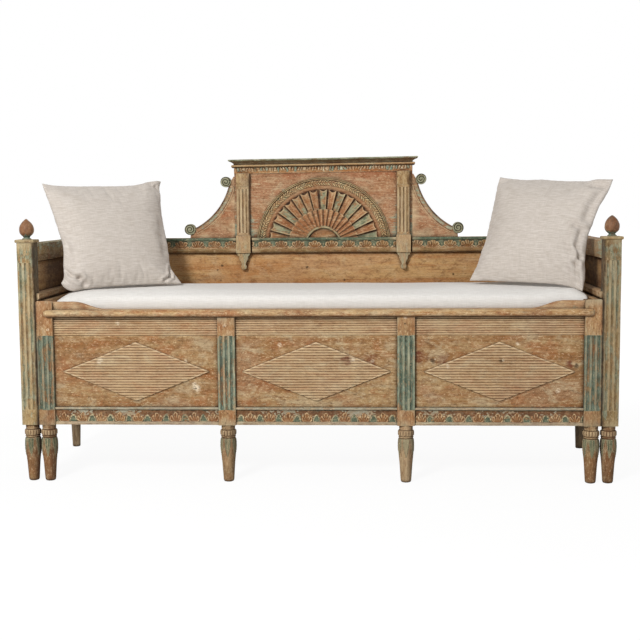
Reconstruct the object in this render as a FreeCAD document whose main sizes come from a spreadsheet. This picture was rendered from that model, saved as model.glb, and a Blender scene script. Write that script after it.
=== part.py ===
import FreeCAD, Part
import math
import os
import re
import Sketcher

# A pull out bench bed: a bench with a back, two arms and a carved crest, and a front box on its own
# feet that slides out between the arms. Millimetres, +Z up, +Y to the back, origin on the floor
# below the middle of the closed bench.

V = FreeCAD.Vector

# Driving sizes
SIZES = {
    # Whole bench, closed
    "overall_width": 1920,
    "overall_depth": 600,
    "running_gap": 1.5,
    "slide_gap": 0.3,
    # Heights, stacked from the floor
    "foot_height": 188,
    "leaf_rail_height": 44,
    "leaf_fillet_height": 14,
    "panel_height": 233,
    "frieze_height": 61,
    "seat_rail_rise": 20,
    "seat_rail_height": 56,
    "arm_panel_height": 102,
    "arm_rail_height": 58,
    "frame_post_rise": 4,
    # Turned feet
    "foot_radius": 26,
    "rear_foot_radius": 20,
    "rear_foot_tip_radius": 14.5,
    # Posts of the frame
    "frame_post_width": 53,
    "frame_post_depth": 56,
    "rear_post_depth": 53,
    "frame_flute_width": 9,
    "frame_flute_depth": 4,
    "frame_flute_pitch": 13.5,
    "flute_count": 3,
    "flute_margin": 50,
    # Caps and finials
    "cap_height": 10,
    "cap_overhang": 5,
    "finial_height": 66,
    "finial_radius": 23.5,
    # Arms
    "arm_rail_thickness": 46,
    "arm_panel_thickness": 18,
    "seat_rail_thickness": 28,
    "seat_moulding_height": 21,
    "seat_moulding_reach": 10,
    "seat_moulding_return": 36,
    "bottom_rail_height": 52,
    # Back
    "back_rail_height": 54,
    "back_rail_depth": 32,
    "back_rail_setback": 13,
    "back_moulding_reach": 18,
    "back_band_recess": 6,
    "back_fillet_height": 12,
    "back_band_height": 25,
    "back_panel_thickness": 16,
    "back_panel_setback": 5,
    "back_seam_drop": 16,
    "back_bottom_rail_height": 40,
    "back_bottom_rail_depth": 50,
    # Sunburst, ring by ring from its centre
    "fan_centre_drop": 26,
    "hub_radius": 67,
    "hub_rim_width": 8,
    "inner_petal_length": 60,
    "outer_petal_length": 73,
    "leaf_ring_width": 30,
    "arch_rim_width": 13,
    "petal_count": 17,
    "petal_pitch": 10,
    "petal_thickness": 6,
    "petal_ground": 3,
    "leaf_ring_reach": 6,
    "arch_rim_reach": 12,
    # Pilasters
    "pilaster_width": 46,
    "pilaster_reach": 16,
    "pilaster_arch_gap": 24,
    "pilaster_block_margin": 3,
    "pilaster_block_reach": 22,
    "pilaster_cap_height": 48,
    "pilaster_base_rise": 9,
    "pilaster_base_drop": 55,
    "pilaster_flute_pitch": 12,
    "pilaster_flute_width": 8,
    "pilaster_flute_depth": 3.5,
    "pendant_height": 60,
    # Crest
    "crest_side_margin": 9,
    "crest_arch_gap": 18,
    "crest_thickness": 22,
    "crest_frieze_height": 20,
    "crest_frieze_reach": 10,
    "crest_bead_height": 11,
    "crest_bead_overhang": 9,
    "crest_bead_reach": 19,
    "cornice_height": 19,
    "cornice_lip": 6,
    "cornice_overhang": 10,
    # Scroll brackets
    "bracket_reach": 164,
    "bracket_rise": 205,
    "upper_volute_offset": 31,
    "upper_volute_radius": 19,
    "lower_volute_rise": 32,
    "lower_volute_radius": 20,
    "volute_reach": 6,
    "bracket_curve_radius": 243,
    # Front of the pull out box
    "box_post_width": 55,
    "box_mid_post_width": 56,
    "box_post_depth": 50,
    "box_post_gap": 2,
    "box_post_corner": 8,
    "mid_post_spacing": 576,
    "box_flute_width": 10,
    "box_flute_depth": 4.5,
    "box_flute_pitch": 15,
    "board_thickness": 22,
    "board_setback": 12,
    "frieze_reed_count": 8,
    "reed_depth": 2,
    "leaf_rail_reach": 4,
    "leaf_fillet_reach": 8,
    "roll_height": 23.5,
    "roll_nose": 15,
    "roll_end_lap": 27.5,
    "ear_rise": 24.5,
    "ear_length": 65,
    "ear_slope_length": 102,
    # Reeded lozenges
    "diamond_end_gap": 21,
    "side_diamond_end_gap": 28.25,
    "diamond_edge_gap": 21.5,
    "diamond_thickness": 6,
    "diamond_reed_count": 22,
    # Box sides, cleats and slats
    "box_side_thickness": 22,
    "box_side_top_gap": 5,
    "box_side_back_gap": 35,
    "cleat_width": 30,
    "cleat_height": 22,
    "back_cleat_width": 50,
    "slat_rise": 28,
    "slat_thickness": 18,
    "slat_gap": 20,
    "frame_slat_count": 9,
    "stretcher_width": 45,
    "stretcher_height": 30,
    "ledge_width": 22,
    "ledge_height": 22,
    "ledge_gap": 2,
    # Lid and seat cushion
    "lid_drop": 8,
    "lid_thickness": 20,
    "lid_gap": 2,
    "lid_side_gap": 5.5,
    "lid_back_gap": 5,
    "cushion_height": 60,
    "cushion_side_gap": 13.5,
    "cushion_crown": 10,
    "cushion_bulge": 8,
    # Scatter cushions
    "pillow_width": 432,
    "pillow_height": 411,
    "pillow_depth": 130,
    "pillow_drawn_in": 20,
    "left_pillow_gap": 46,
    "right_pillow_gap": 15,
    "pillow_back_gap": 131,
    "pillow_turn": 33,
    "pillow_lean": 24,
    "pillow_roll": 2.5,
}

# Places and sizes that follow from the driving sizes
PLACES = {
    "half_width": "overall_width / 2",
    "rear_face": "overall_depth / 2",
    "post_front": "roll_nose - rear_face",
    "post_inner": "half_width - frame_post_width",
    "post_centre": "half_width - frame_post_width / 2",
    "post_back": "post_front + frame_post_depth",
    "rear_post_front": "rear_face - rear_post_depth",
    "flute_bottom": "foot_height + flute_margin",
    # Heights
    "leaf_rail_top": "foot_height + leaf_rail_height + leaf_fillet_height",
    "panel_top": "leaf_rail_top + panel_height",
    "frieze_top": "panel_top + frieze_height",
    "seat_rail_bottom": "frieze_top + seat_rail_rise",
    "seat_rail_top": "seat_rail_bottom + seat_rail_height",
    "seat_moulding_bottom": "seat_rail_top - seat_moulding_height",
    "arm_rail_bottom": "seat_rail_top + arm_panel_height",
    "arm_top": "arm_rail_bottom + arm_rail_height",
    "frame_post_top": "arm_top + frame_post_rise",
    "bottom_rail_top": "foot_height + bottom_rail_height",
    # Arms
    "arm_inner": "post_centre - arm_rail_thickness / 2",
    "arm_outer": "post_centre + arm_rail_thickness / 2",
    "arm_panel_inner": "post_centre - arm_panel_thickness / 2",
    "arm_panel_outer": "post_centre + arm_panel_thickness / 2",
    "seat_moulding_inner": "post_inner - seat_moulding_reach",
    "seat_rail_inner": "post_centre - seat_rail_thickness / 2",
    "seat_rail_outer": "post_centre + seat_rail_thickness / 2",
    # Back
    "back_rail_back": "rear_face - back_rail_setback",
    "back_rail_front": "back_rail_back - back_rail_depth",
    "back_moulding_front": "back_rail_front - back_moulding_reach",
    "back_rail_bottom": "arm_top - back_rail_height",
    "back_panel_front": "back_rail_front + back_panel_setback",
    "back_panel_back": "back_panel_front + back_panel_thickness",
    "back_seam": "seat_rail_top - back_seam_drop",
    "back_bottom_rail_front": "back_rail_back - back_bottom_rail_depth",
    # Sunburst
    "fan_centre": "arm_top - fan_centre_drop",
    "inner_petal_radius": "hub_radius + inner_petal_length",
    "outer_petal_radius": "inner_petal_radius + outer_petal_length",
    "leaf_ring_radius": "outer_petal_radius + leaf_ring_width",
    "arch_radius": "leaf_ring_radius + arch_rim_width",
    # Crest
    "pilaster_centre": "arch_radius + pilaster_arch_gap + pilaster_width / 2",
    "pilaster_block_half": "pilaster_width / 2 + pilaster_block_margin",
    "crest_half": "pilaster_centre + pilaster_width / 2 + crest_side_margin",
    "crest_back": "back_rail_front + crest_thickness",
    "frieze_bottom": "fan_centre + arch_radius + crest_arch_gap",
    "crest_top": "frieze_bottom + crest_frieze_height",
    "bead_top": "crest_top + crest_bead_height",
    "bead_half": "crest_half + crest_bead_overhang",
    "bead_front": "back_rail_front - crest_bead_reach",
    "bead_back": "crest_back + crest_bead_overhang",
    "cornice_top": "bead_top + cornice_height",
    # Front of the box
    "box_half": "post_inner - running_gap",
    "corner_post_centre": "box_half - box_post_width / 2",
    "corner_post_inner": "box_half - box_post_width",
    "box_post_top": "seat_moulding_bottom - box_post_gap",
    "box_post_back": "post_front + box_post_depth",
    "mid_post_centre": "mid_post_spacing / 2",
    "mid_post_inner": "mid_post_centre - box_mid_post_width / 2",
    "mid_post_outer": "mid_post_centre + box_mid_post_width / 2",
    "board_front": "post_front + board_setback",
    "board_back": "board_front + board_thickness",
    "roll_top": "frieze_top + roll_height",
    "diamond_offset": "(mid_post_outer + corner_post_inner) / 2",
    "diamond_height": "(leaf_rail_top + panel_top) / 2",
    "diamond_half": "mid_post_inner - diamond_end_gap",
    "side_diamond_half": "(corner_post_inner - mid_post_outer) / 2 - side_diamond_end_gap",
    "diamond_tall": "panel_height / 2 - diamond_edge_gap",
    # Box sides and slats
    "box_side_inner": "box_half - box_side_thickness",
    "box_side_back": "back_panel_front - box_side_back_gap",
    "box_side_top": "seat_moulding_bottom - box_side_top_gap",
    "slat_rest": "foot_height + slat_rise",
    "box_slat_rest": "slat_rest + slide_gap",
    "slat_pitch": "2 * box_side_inner / frame_slat_count",
    "slat_width": "slat_pitch / 2 - slat_gap",
    "ledge_back": "box_post_back + ledge_width",
    "stretcher_front": "ledge_back + ledge_gap",
    # Lid and cushions
    "lid_bottom": "frieze_top - lid_drop",
    "lid_rest": "lid_bottom - slide_gap",
    "lid_top": "lid_bottom + lid_thickness",
    "lid_half": "box_side_inner - lid_side_gap",
    "lid_front": "box_post_back + lid_gap",
    "lid_seam": "(lid_front + lid_back) / 2",
    "lid_back": "back_moulding_front - lid_back_gap",
    "cleat_inner": "box_side_inner - cleat_width",
    "back_cleat_front": "back_panel_front - back_cleat_width",
    "cushion_bottom": "lid_top + slide_gap",
    "cushion_half": "box_side_inner - cushion_side_gap",
}

# Outlines as shares of the piece that they shape
FOOT_SHARES = [  # radius, height, and where an arc leads on, its radius as a share of the height
    (0.654, 0.0, 0), (0.808, 0.34, 0), (0.962, 0.585, 0), (0.962, 0.69, 0), (0.83, 0.761, 0),
    (0.94, 0.761, 0.0194), (0.94, 0.798, 0), (0.94, 0.867, 0.0194), (0.94, 0.899, 0),
    (0.75, 0.899, 0), (0.75, 1.0, 0),
]
FINIAL_SHARES = [  # radius and height
    (0.62, 0.0), (0.62, 0.05), (0.42, 0.09), (0.46, 0.16), (0.8, 0.25), (1.0, 0.4),
    (0.93, 0.58), (0.68, 0.76), (0.33, 0.9), (0.08, 1.0),
]
PENDANT_SHARES = [  # half width as a share of the block's, and height below the block
    (0.84, 0.0), (0.84, 0.12), (0.6, 0.2), (0.6, 0.36), (0.4, 0.5), (0.28, 0.7),
    (0.4, 0.82), (0.32, 0.94), (0.0, 1.0),
]
PETAL_FILL_SHARE = 0.43
PETAL_NOTCH_SHARE = 1.2
LOWER_SPRING_SHARES = (0.85, 0.2)
UPPER_SPRING_SHARE = 0.6
SEAT_SECTION_SHARES = [  # place along the half length, and height
    (0.0, 1.0), (0.45, 1.0), (0.7, 0.98), (0.86, 0.9), (0.95, 0.78), (1.0, 0.62),
]
PILLOW_LEVEL_SHARES = [  # half depth, outline, and how far its sides draw in
    (0.0, 1.0, 1.0), (0.36, 0.93, 0.75), (0.68, 0.76, 0.3), (0.9, 0.5, 0.0), (1.0, 0.2, 0.0),
]
PILLOW_ROUND_SHARE = 0.06
SETTLING_STEPS = 8

document = FreeCAD.newDocument("PullOutBench")
sheet = document.addObject("Spreadsheet::Sheet", "Sizes")
for row, (alias, size) in enumerate(SIZES.items(), start=1):
    sheet.set(f"A{row}", alias)
    sheet.set(f"B{row}", str(size))
    sheet.setAlias(f"B{row}", alias)
document.recompute()
pieces = []


def formula(text):
    """Write a length in sheet terms: sizes by their cell, places by what they follow from."""
    def cell(match):
        word = match.group(0)
        if word in PLACES:
            return "(" + formula(PLACES[word]) + ")"
        return "Sizes." + word if word in SIZES else word
    return re.sub(r"[A-Za-z_]+", cell, text)


def number(text):
    return float(sheet.evalExpression(formula(text)))


def bind(thing, field, text):
    thing.setExpression(field, formula(text))


def place(thing, x="0", y="0", z="0"):
    for axis, text in zip("xyz", (x, y, z)):
        bind(thing, f"Placement.Base.{axis}", text)


def sub_part(kind, label):
    """A new object that is kept as a sub-part under its own name."""
    thing = document.addObject(kind, label)
    thing.Label = label
    pieces.append(thing)
    return thing


def size_box(box, x, y, z):
    """Set a box between a low and a high place on each axis."""
    for field, (low, high) in zip(("Length", "Width", "Height"), (x, y, z)):
        bind(box, field, f"({high}) - ({low})")
    place(box, x[0], y[0], z[0])


def board(label, x, y, z):
    size_box(sub_part("Part::Box", label), x, y, z)


def on_side(sign, inner, outer):
    """A stretch across the bench, mirrored for the left side."""
    return (f"-({outer})", f"-({inner})") if sign < 0 else (inner, outer)


def attached_sketch(body, plane, offset):
    sketch = body.newObject("Sketcher::SketchObject", f"{body.Name}_{plane}_outline")
    support = [part for part in body.Origin.OriginFeatures if part.Role == f"{plane}_Plane"]
    sketch.AttachmentSupport = [(support[0], "")]
    sketch.MapMode = "FlatFace"
    bind(sketch, "AttachmentOffset.Base.z", offset)
    return sketch


def arc_between(start, end, radius, side):
    """The short arc from start to end, with its centre on the named side of the way there."""
    chord = end - start
    sign = 1 if side == "left" else -1
    left = V(-chord.y, chord.x, 0).normalize()
    centre = (start + end) / 2 + left * sign * math.sqrt(radius ** 2 - (chord.Length / 2) ** 2)
    first, last = [math.atan2(point.y - centre.y, point.x - centre.x) for point in (start, end)]
    if sign < 0:
        first, last = last, first
    return Part.ArcOfCircle(Part.Circle(centre, V(0, 0, 1), radius), first, last)


def hold(sketch, kind, text, *where):
    """Add a size rule to a sketch and bind it to the sheet."""
    rule = sketch.addConstraint(Sketcher.Constraint(kind, *where, number(text)))
    sketch.setExpression(f"Constraints[{rule}]", formula(text))


def outline(body, plane, points, offset="0"):
    """A closed outline. A point is (x, y), or (x, y, side, radius) where an arc leads to the next."""
    sketch = attached_sketch(body, plane, offset)
    corners = [V(number(point[0]), number(point[1]), 0) for point in points]
    ends = []
    for index, point in enumerate(points):
        start, end = corners[index], corners[(index + 1) % len(points)]
        if len(point) == 4:
            sketch.addGeometry(arc_between(start, end, number(point[3]), point[2]))
            ends.append((2, 1) if point[2] == "right" else (1, 2))
        else:
            sketch.addGeometry(Part.LineSegment(start, end))
            ends.append((1, 2))
    for index in range(len(points)):
        following = (index + 1) % len(points)
        joint = Sketcher.Constraint("Coincident", index, ends[index][1], following, ends[following][0])
        sketch.addConstraint(joint)
    for index, point in enumerate(points):
        hold(sketch, "DistanceX", point[0], -1, 1, index, ends[index][0])
        hold(sketch, "DistanceY", point[1], -1, 1, index, ends[index][0])
        if len(point) == 4:
            hold(sketch, "Radius", point[3], index)
    return sketch


def circle(body, plane, spot, offset="0"):
    """A full circle, given as (x, y, radius)."""
    x, y, radius = spot
    sketch = attached_sketch(body, plane, offset)
    sketch.addGeometry(Part.Circle(V(number(x), number(y), 0), V(0, 0, 1), number(radius)))
    hold(sketch, "DistanceX", x, -1, 1, 0, 3)
    hold(sketch, "DistanceY", y, -1, 1, 0, 3)
    hold(sketch, "Radius", radius, 0)
    return sketch


def prism(body, plane, points, low, high, kind="Pad", draw=outline):
    """Pad or pocket an outline between two places along the axis that its plane faces.

    A pad grows the way its sketch looks and a pocket the other way. Sketches on XZ look to -Y,
    the others to the positive end of their axis.
    """
    looks_back = plane == "XZ"
    start = high if looks_back == (kind == "Pad") else low
    sketch = draw(body, plane, points, f"-({start})" if looks_back else start)
    feature = body.newObject(f"PartDesign::{kind}", f"{body.Name}_{kind}")
    feature.Profile = sketch
    bind(feature, "Length", f"({high}) - ({low})")
    return feature


def rectangle(left, right, bottom, top):
    return [(left, bottom), (right, bottom), (right, top), (left, top)]


def turned(body, plane, points):
    """Turn a half profile about the upright axis of its sketch."""
    sketch = outline(body, plane, points)
    feature = body.newObject("PartDesign::Revolution", f"{body.Name}_turned")
    feature.Profile = sketch
    feature.ReferenceAxis = (sketch, ["V_Axis"])
    feature.Angle = 360


def row_of(body, feature, pitch, count):
    """Repeat a feature across the bench."""
    pattern = body.newObject("PartDesign::LinearPattern", f"{body.Name}_row")
    pattern.Originals = [feature]
    pattern.Direction = (feature.Profile[0], ["H_Axis"])
    bind(pattern, "Length", f"({pitch}) * ({count} - 1)")
    bind(pattern, "Occurrences", count)
    body.Tip = pattern


def flutes(body, front, family, bottom, top):
    """Round bottomed flutes, cut upright into the front face of a post or strip."""
    width, depth, pitch = f"{family}_flute_width", f"{family}_flute_depth", f"{family}_flute_pitch"
    first = f"-{pitch} * (flute_count - 1) / 2"
    left, right = f"{first} - {width} / 2", f"{first} + {width} / 2"
    radius = f"({width} ^ 2 / 4 + {depth} ^ 2) / (2 * {depth})"
    section = [(left, f"{front} - {depth}"), (right, f"{front} - {depth}"),
               (right, front, "left", radius), (left, front)]
    groove = prism(body, "XY", section, bottom, top, "Pocket")
    row_of(body, groove, pitch, "flute_count")


def turned_foot(body):
    points = [("0", "0")]
    for radius_share, height_share, arc_share in FOOT_SHARES:
        arc = ("left", f"{arc_share} * foot_height") if arc_share else ()
        points.append((f"{radius_share} * foot_radius", f"{height_share} * foot_height") + arc)
    points.append(("0", "foot_height"))
    turned(body, "XZ", points)


# Posts

def frame_post(side, sign):
    body = sub_part("PartDesign::Body", f"front_post_{side}")
    half, deep = "frame_post_width / 2", "frame_post_depth / 2"
    prism(body, "XY", rectangle(f"-{half}", half, f"-{deep}", deep), "foot_height", "frame_post_top")
    turned_foot(body)
    flutes(body, f"-{deep}", "frame", "flute_bottom", "frame_post_top - flute_margin - cap_height")
    place(body, f"{sign} * post_centre", f"post_front + {deep}")


def finial(side, sign):
    """A square cap with a turned, egg shaped finial."""
    body = sub_part("PartDesign::Body", f"finial_{side}")
    half, deep = "frame_post_width / 2 + cap_overhang", "frame_post_depth / 2 + cap_overhang"
    prism(body, "XY", rectangle(f"-({half})", half, f"-({deep})", deep), "0", "cap_height")
    points = [("0", "cap_height")]
    for radius_share, height_share in FINIAL_SHARES:
        points.append((f"{radius_share} * finial_radius", f"cap_height + {height_share} * finial_height"))
    points.append(("0", "cap_height + finial_height"))
    turned(body, "XZ", points)
    place(body, f"{sign} * post_centre", "post_front + frame_post_depth / 2", "frame_post_top")


def rear_post(side, sign):
    body = sub_part("PartDesign::Body", f"rear_post_{side}")
    half, deep = "frame_post_width / 2", "rear_post_depth / 2"
    prism(body, "XY", rectangle(f"-{half}", half, f"-{deep}", deep), "foot_height", "arm_top")
    turned(body, "XZ", [("0", "0"), ("rear_foot_tip_radius", "0"), ("rear_foot_radius", "foot_height"),
                        ("0", "foot_height")])
    place(body, f"{sign} * post_centre", f"rear_face - {deep}")


def box_corner_post(side, sign):
    body = sub_part("PartDesign::Body", f"drawer_corner_post_{side}")
    half, deep, corner = "box_post_width / 2", "box_post_depth / 2", "box_post_corner"
    front_view = [
        (f"-{half}", "foot_height"), (half, "foot_height"),
        (half, f"box_post_top - {corner}", "left", corner), (f"{half} - {corner}", "box_post_top"),
        (f"{corner} - {half}", "box_post_top", "left", corner), (f"-{half}", f"box_post_top - {corner}"),
    ]
    prism(body, "XZ", front_view, f"-{deep}", deep)
    turned_foot(body)
    flutes(body, f"-{deep}", "box", "flute_bottom", "panel_top")
    place(body, f"{sign} * corner_post_centre", f"post_front + {deep}")


def box_mid_post(side, sign):
    body = sub_part("PartDesign::Body", f"drawer_mid_post_{side}")
    half, deep = "box_mid_post_width / 2", "box_post_depth / 2"
    prism(body, "XY", rectangle(f"-{half}", half, f"-{deep}", deep), "foot_height", "frieze_top")
    turned_foot(body)
    flutes(body, f"-{deep}", "box", "flute_bottom", "panel_top")
    place(body, f"{sign} * mid_post_centre", f"post_front + {deep}")


# Arms

def arm(side, sign):
    """Top rail, panel, the rail with the moulding over the box side, lower panel and bottom rail."""
    length = ("post_back", "rear_post_front")
    rail, panel = on_side(sign, "arm_inner", "arm_outer"), on_side(sign, "arm_panel_inner", "arm_panel_outer")
    board(f"arm_top_rail_{side}", rail, length, ("arm_rail_bottom", "arm_top"))
    board(f"arm_panel_{side}", panel, length, ("seat_rail_top", "arm_rail_bottom"))
    board(f"side_panel_{side}", panel, length, ("bottom_rail_top", "seat_rail_bottom"))
    board(f"side_bottom_rail_{side}", rail, length, ("foot_height", "bottom_rail_top"))
    body = sub_part("PartDesign::Body", f"arm_seat_rail_{side}")
    section = [
        ("seat_rail_inner", "seat_rail_bottom"), ("seat_rail_outer", "seat_rail_bottom"),
        ("seat_rail_outer", "seat_rail_top"), ("seat_moulding_inner", "seat_rail_top"),
        ("seat_moulding_inner", "seat_moulding_bottom"), ("seat_rail_inner", "seat_moulding_bottom"),
    ]
    prism(body, "XZ", [(f"{sign} * {x}", z) for x, z in section], *length)
    left, right = on_side(sign, "seat_moulding_inner", "post_inner")
    prism(body, "XZ", rectangle(left, right, "seat_moulding_bottom", "seat_rail_top"),
          "post_back - seat_moulding_return", "post_back")


# Back

def back_moulding(name, left, right):
    """Two fillets with a recessed band between them, which carries the carved leaves."""
    body = sub_part("PartDesign::Body", f"back_moulding_{name}")
    front, recess = "back_moulding_front", "back_moulding_front + back_band_recess"
    band_top = "arm_top - back_fillet_height"
    band_bottom = f"{band_top} - back_band_height"
    section = [
        ("back_rail_front", "back_rail_bottom"), ("back_rail_front", "arm_top"),
        (front, "arm_top"), (front, band_top), (recess, band_top), (recess, band_bottom),
        (front, band_bottom), (front, "back_rail_bottom"),
    ]
    prism(body, "YZ", section, left, right)


def back():
    between = ("-post_inner", "post_inner")
    panel = ("back_panel_front", "back_panel_back")
    board("back_top_rail", between, ("back_rail_front", "back_rail_back"), ("back_rail_bottom", "arm_top"))
    board("back_panel_upper", between, panel, ("back_seam", "back_rail_bottom"))
    board("back_panel_lower", between, panel, ("slat_rest", "back_seam"))
    board("back_bottom_rail", between, ("back_bottom_rail_front", "back_rail_back"),
          ("slat_rest - back_bottom_rail_height", "slat_rest"))
    board("back_lid_cleat", ("-lid_half", "lid_half"),
          ("back_cleat_front", "back_panel_front"), ("lid_rest - cleat_height", "lid_rest"))
    block_inner = "pilaster_centre - pilaster_block_half"
    block_outer = "pilaster_centre + pilaster_block_half"
    back_moulding("left", "-post_inner", f"-({block_outer})")
    back_moulding("centre", f"-({block_inner})", block_inner)
    back_moulding("right", block_outer, "post_inner")


# Crest

def cornice():
    """A hollow moulding that returns round both ends: the space shared by two long mouldings."""
    half, front = "bead_half + cornice_overhang", "bead_front - cornice_overhang"
    lip = "cornice_top - cornice_lip"
    rise = "(cornice_height - cornice_lip)"
    hollow = f"(cornice_overhang ^ 2 + {rise} ^ 2) / (2 * cornice_overhang)"
    front_view = [
        ("-bead_half", "bead_top"), ("bead_half", "bead_top", "right", hollow), (half, lip),
        (half, "cornice_top"), (f"-({half})", "cornice_top"), (f"-({half})", lip, "right", hollow),
    ]
    side_view = [
        ("bead_back", "bead_top"), ("bead_back", "cornice_top"), (front, "cornice_top"),
        (front, lip, "right", hollow), ("bead_front", "bead_top"),
    ]
    long_moulding = document.addObject("PartDesign::Body", "cornice_front_view")
    prism(long_moulding, "XZ", front_view, front, "bead_back")
    deep_moulding = document.addObject("PartDesign::Body", "cornice_side_view")
    prism(deep_moulding, "YZ", side_view, f"-({half})", half)
    both = sub_part("Part::Common", "crest_cornice")
    both.Base = long_moulding
    both.Tool = deep_moulding


def crest():
    across = ("-crest_half", "crest_half")
    board("crest_board", across, ("back_rail_front", "crest_back"), ("arm_top", "crest_top"))
    board("crest_leaf_frieze", across, ("back_rail_front - crest_frieze_reach", "back_rail_front"),
          ("frieze_bottom", "crest_top"))
    board("crest_bead", ("-bead_half", "bead_half"), ("bead_front", "bead_back"),
          ("crest_top", "bead_top"))
    cornice()


def sunburst_ring(label, points):
    """A ring on the face of the crest board, turned about the axis of the sunburst."""
    body = sub_part("PartDesign::Body", label)
    turned(body, "XY", points)
    place(body, "0", "back_rail_front", "fan_centre")
    return body


def cut_at_rail(body):
    """Cut away what a piece of the sunburst would have below the top of the back rail."""
    below = rectangle("-arch_radius", "arch_radius", "-arch_radius", "fan_centre_drop")
    prism(body, "XZ", below, "-arch_rim_reach", "arch_rim_reach", "Pocket")


def petals(label, inner, outer, tip_side, tip_radius):
    """A ring of blades that stand on a thin ground."""
    body = sunburst_ring(label, rectangle(inner, outer, "-petal_ground", "0"))
    low = f"petal_pitch * (1 - {PETAL_FILL_SHARE})"
    high = f"petal_pitch * (1 + {PETAL_FILL_SHARE})"
    blade = [
        (f"{inner} * cos({low})", f"{inner} * sin({low})"),
        (f"{outer} * cos({low})", f"{outer} * sin({low})", tip_side, tip_radius),
        (f"{outer} * cos({high})", f"{outer} * sin({high})"),
        (f"{inner} * cos({high})", f"{inner} * sin({high})", "right", inner),
    ]
    petal = prism(body, "XZ", blade, "-petal_ground - petal_thickness", "-petal_ground")
    fan = body.newObject("PartDesign::PolarPattern", f"{label}_fan")
    fan.Originals = [petal]
    fan.Axis = (petal.Profile[0], ["N_Axis"])
    bind(fan, "Angle", "petal_pitch * (petal_count - 1)")
    bind(fan, "Occurrences", "petal_count")
    body.Tip = fan
    cut_at_rail(body)


def sunburst():
    cut_at_rail(sunburst_ring("arch_rim", [
        ("outer_petal_radius", "0"), ("outer_petal_radius", "-leaf_ring_reach"),
        ("leaf_ring_radius", "-leaf_ring_reach"), ("leaf_ring_radius", "-arch_rim_reach"),
        ("arch_radius", "-arch_rim_reach"), ("arch_radius", "0"),
    ]))
    hub_inner = "hub_radius - hub_rim_width"
    cut_at_rail(sunburst_ring("sunburst_hub", [
        ("0", "0"), ("0", "-petal_ground"), (hub_inner, "-petal_ground"), (hub_inner, "-arch_rim_reach"),
        ("hub_radius", "-arch_rim_reach"), ("hub_radius", "0"),
    ]))
    petals("sunburst_inner_petals", "hub_radius", "inner_petal_radius", "left", "inner_petal_radius")
    notch = f"{PETAL_NOTCH_SHARE} * outer_petal_radius * sin({PETAL_FILL_SHARE} * petal_pitch)"
    petals("sunburst_outer_petals", "inner_petal_radius", "outer_petal_radius", "right", notch)


def pilaster(side, sign):
    """A fluted strip between a cap block and a base block, with a shaped drop below."""
    body = sub_part("PartDesign::Body", f"pilaster_{side}")
    half, block = "pilaster_width / 2", "pilaster_block_half"
    base_bottom, base_top = "(arm_top - pilaster_base_drop)", "arm_top + pilaster_base_rise"
    cap_bottom = "frieze_bottom - pilaster_cap_height"
    prism(body, "XZ", rectangle(f"-{half}", half, base_top, cap_bottom), "-pilaster_reach", "0")
    for bottom, top in ((base_bottom, base_top), (cap_bottom, "frieze_bottom")):
        prism(body, "XZ", rectangle(f"-{block}", block, bottom, top), "-pilaster_block_reach", "0")
    right = [(f"{w} * {block}", f"{base_bottom} - {h} * pendant_height") for w, h in PENDANT_SHARES]
    left = [(f"-{w} * {block}", f"{base_bottom} - {h} * pendant_height")
            for w, h in reversed(PENDANT_SHARES[:-1])]
    prism(body, "XZ", right + left, "-pilaster_reach", "0")
    flutes(body, "-pilaster_reach", "pilaster",
           f"{base_top} + pilaster_flute_width", f"{cap_bottom} - pilaster_flute_width")
    place(body, f"{sign} * pilaster_centre", "back_rail_front")


def scroll_brackets():
    """A hollow sided web between two volutes. The left one is its mirror image."""
    body = sub_part("PartDesign::Body", "scroll_bracket_right")
    lower = ("bracket_reach", "lower_volute_rise", "lower_volute_radius")
    upper = ("upper_volute_offset", "bracket_rise", "upper_volute_radius")
    web = [
        ("0", "0"), (lower[0], "0"), lower[:2],
        (f"{lower[0]} - {LOWER_SPRING_SHARES[0]} * {lower[2]}",
         f"{lower[1]} + {LOWER_SPRING_SHARES[1]} * {lower[2]}", "right", "bracket_curve_radius"),
        (f"{upper[0]} - {UPPER_SPRING_SHARE} * {upper[2]}",
         f"{upper[1]} - {UPPER_SPRING_SHARE} * {upper[2]}"),
        upper[:2], ("0", upper[1]),
    ]
    prism(body, "XZ", web, "0", "crest_thickness")
    for volute in (lower, upper):
        prism(body, "XZ", volute, "-volute_reach", "crest_thickness", draw=circle)
    place(body, "crest_half", "back_rail_front", "arm_top")
    mirror = sub_part("Part::Mirroring", "scroll_bracket_left")
    mirror.Source = body
    mirror.Normal = V(1, 0, 0)


# Front of the pull out box

def reeded_face(front, bottom, top, count):
    """The face of a board as a stack of upright arcs, from the top reed down."""
    pitch = f"(({top}) - ({bottom})) / {count}"
    radius = f"(({pitch}) ^ 2 / 4 + reed_depth ^ 2) / (2 * reed_depth)"
    tops = [(front, f"({top}) - {index} * {pitch}", "left", radius) for index in range(SIZES[count])]
    return tops + [(front, bottom)]


def bay_rail(label, section):
    """A rail across the three bays of the front, left out where the mid posts stand."""
    body = sub_part("PartDesign::Body", label)
    prism(body, "YZ", section, "-corner_post_inner", "corner_post_inner")
    for sign in (-1, 1):
        left, right = on_side(sign, "mid_post_inner", "mid_post_outer")
        prism(body, "XZ", rectangle(left, right, "0", "arm_top"), "-rear_face", "0", "Pocket")


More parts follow.
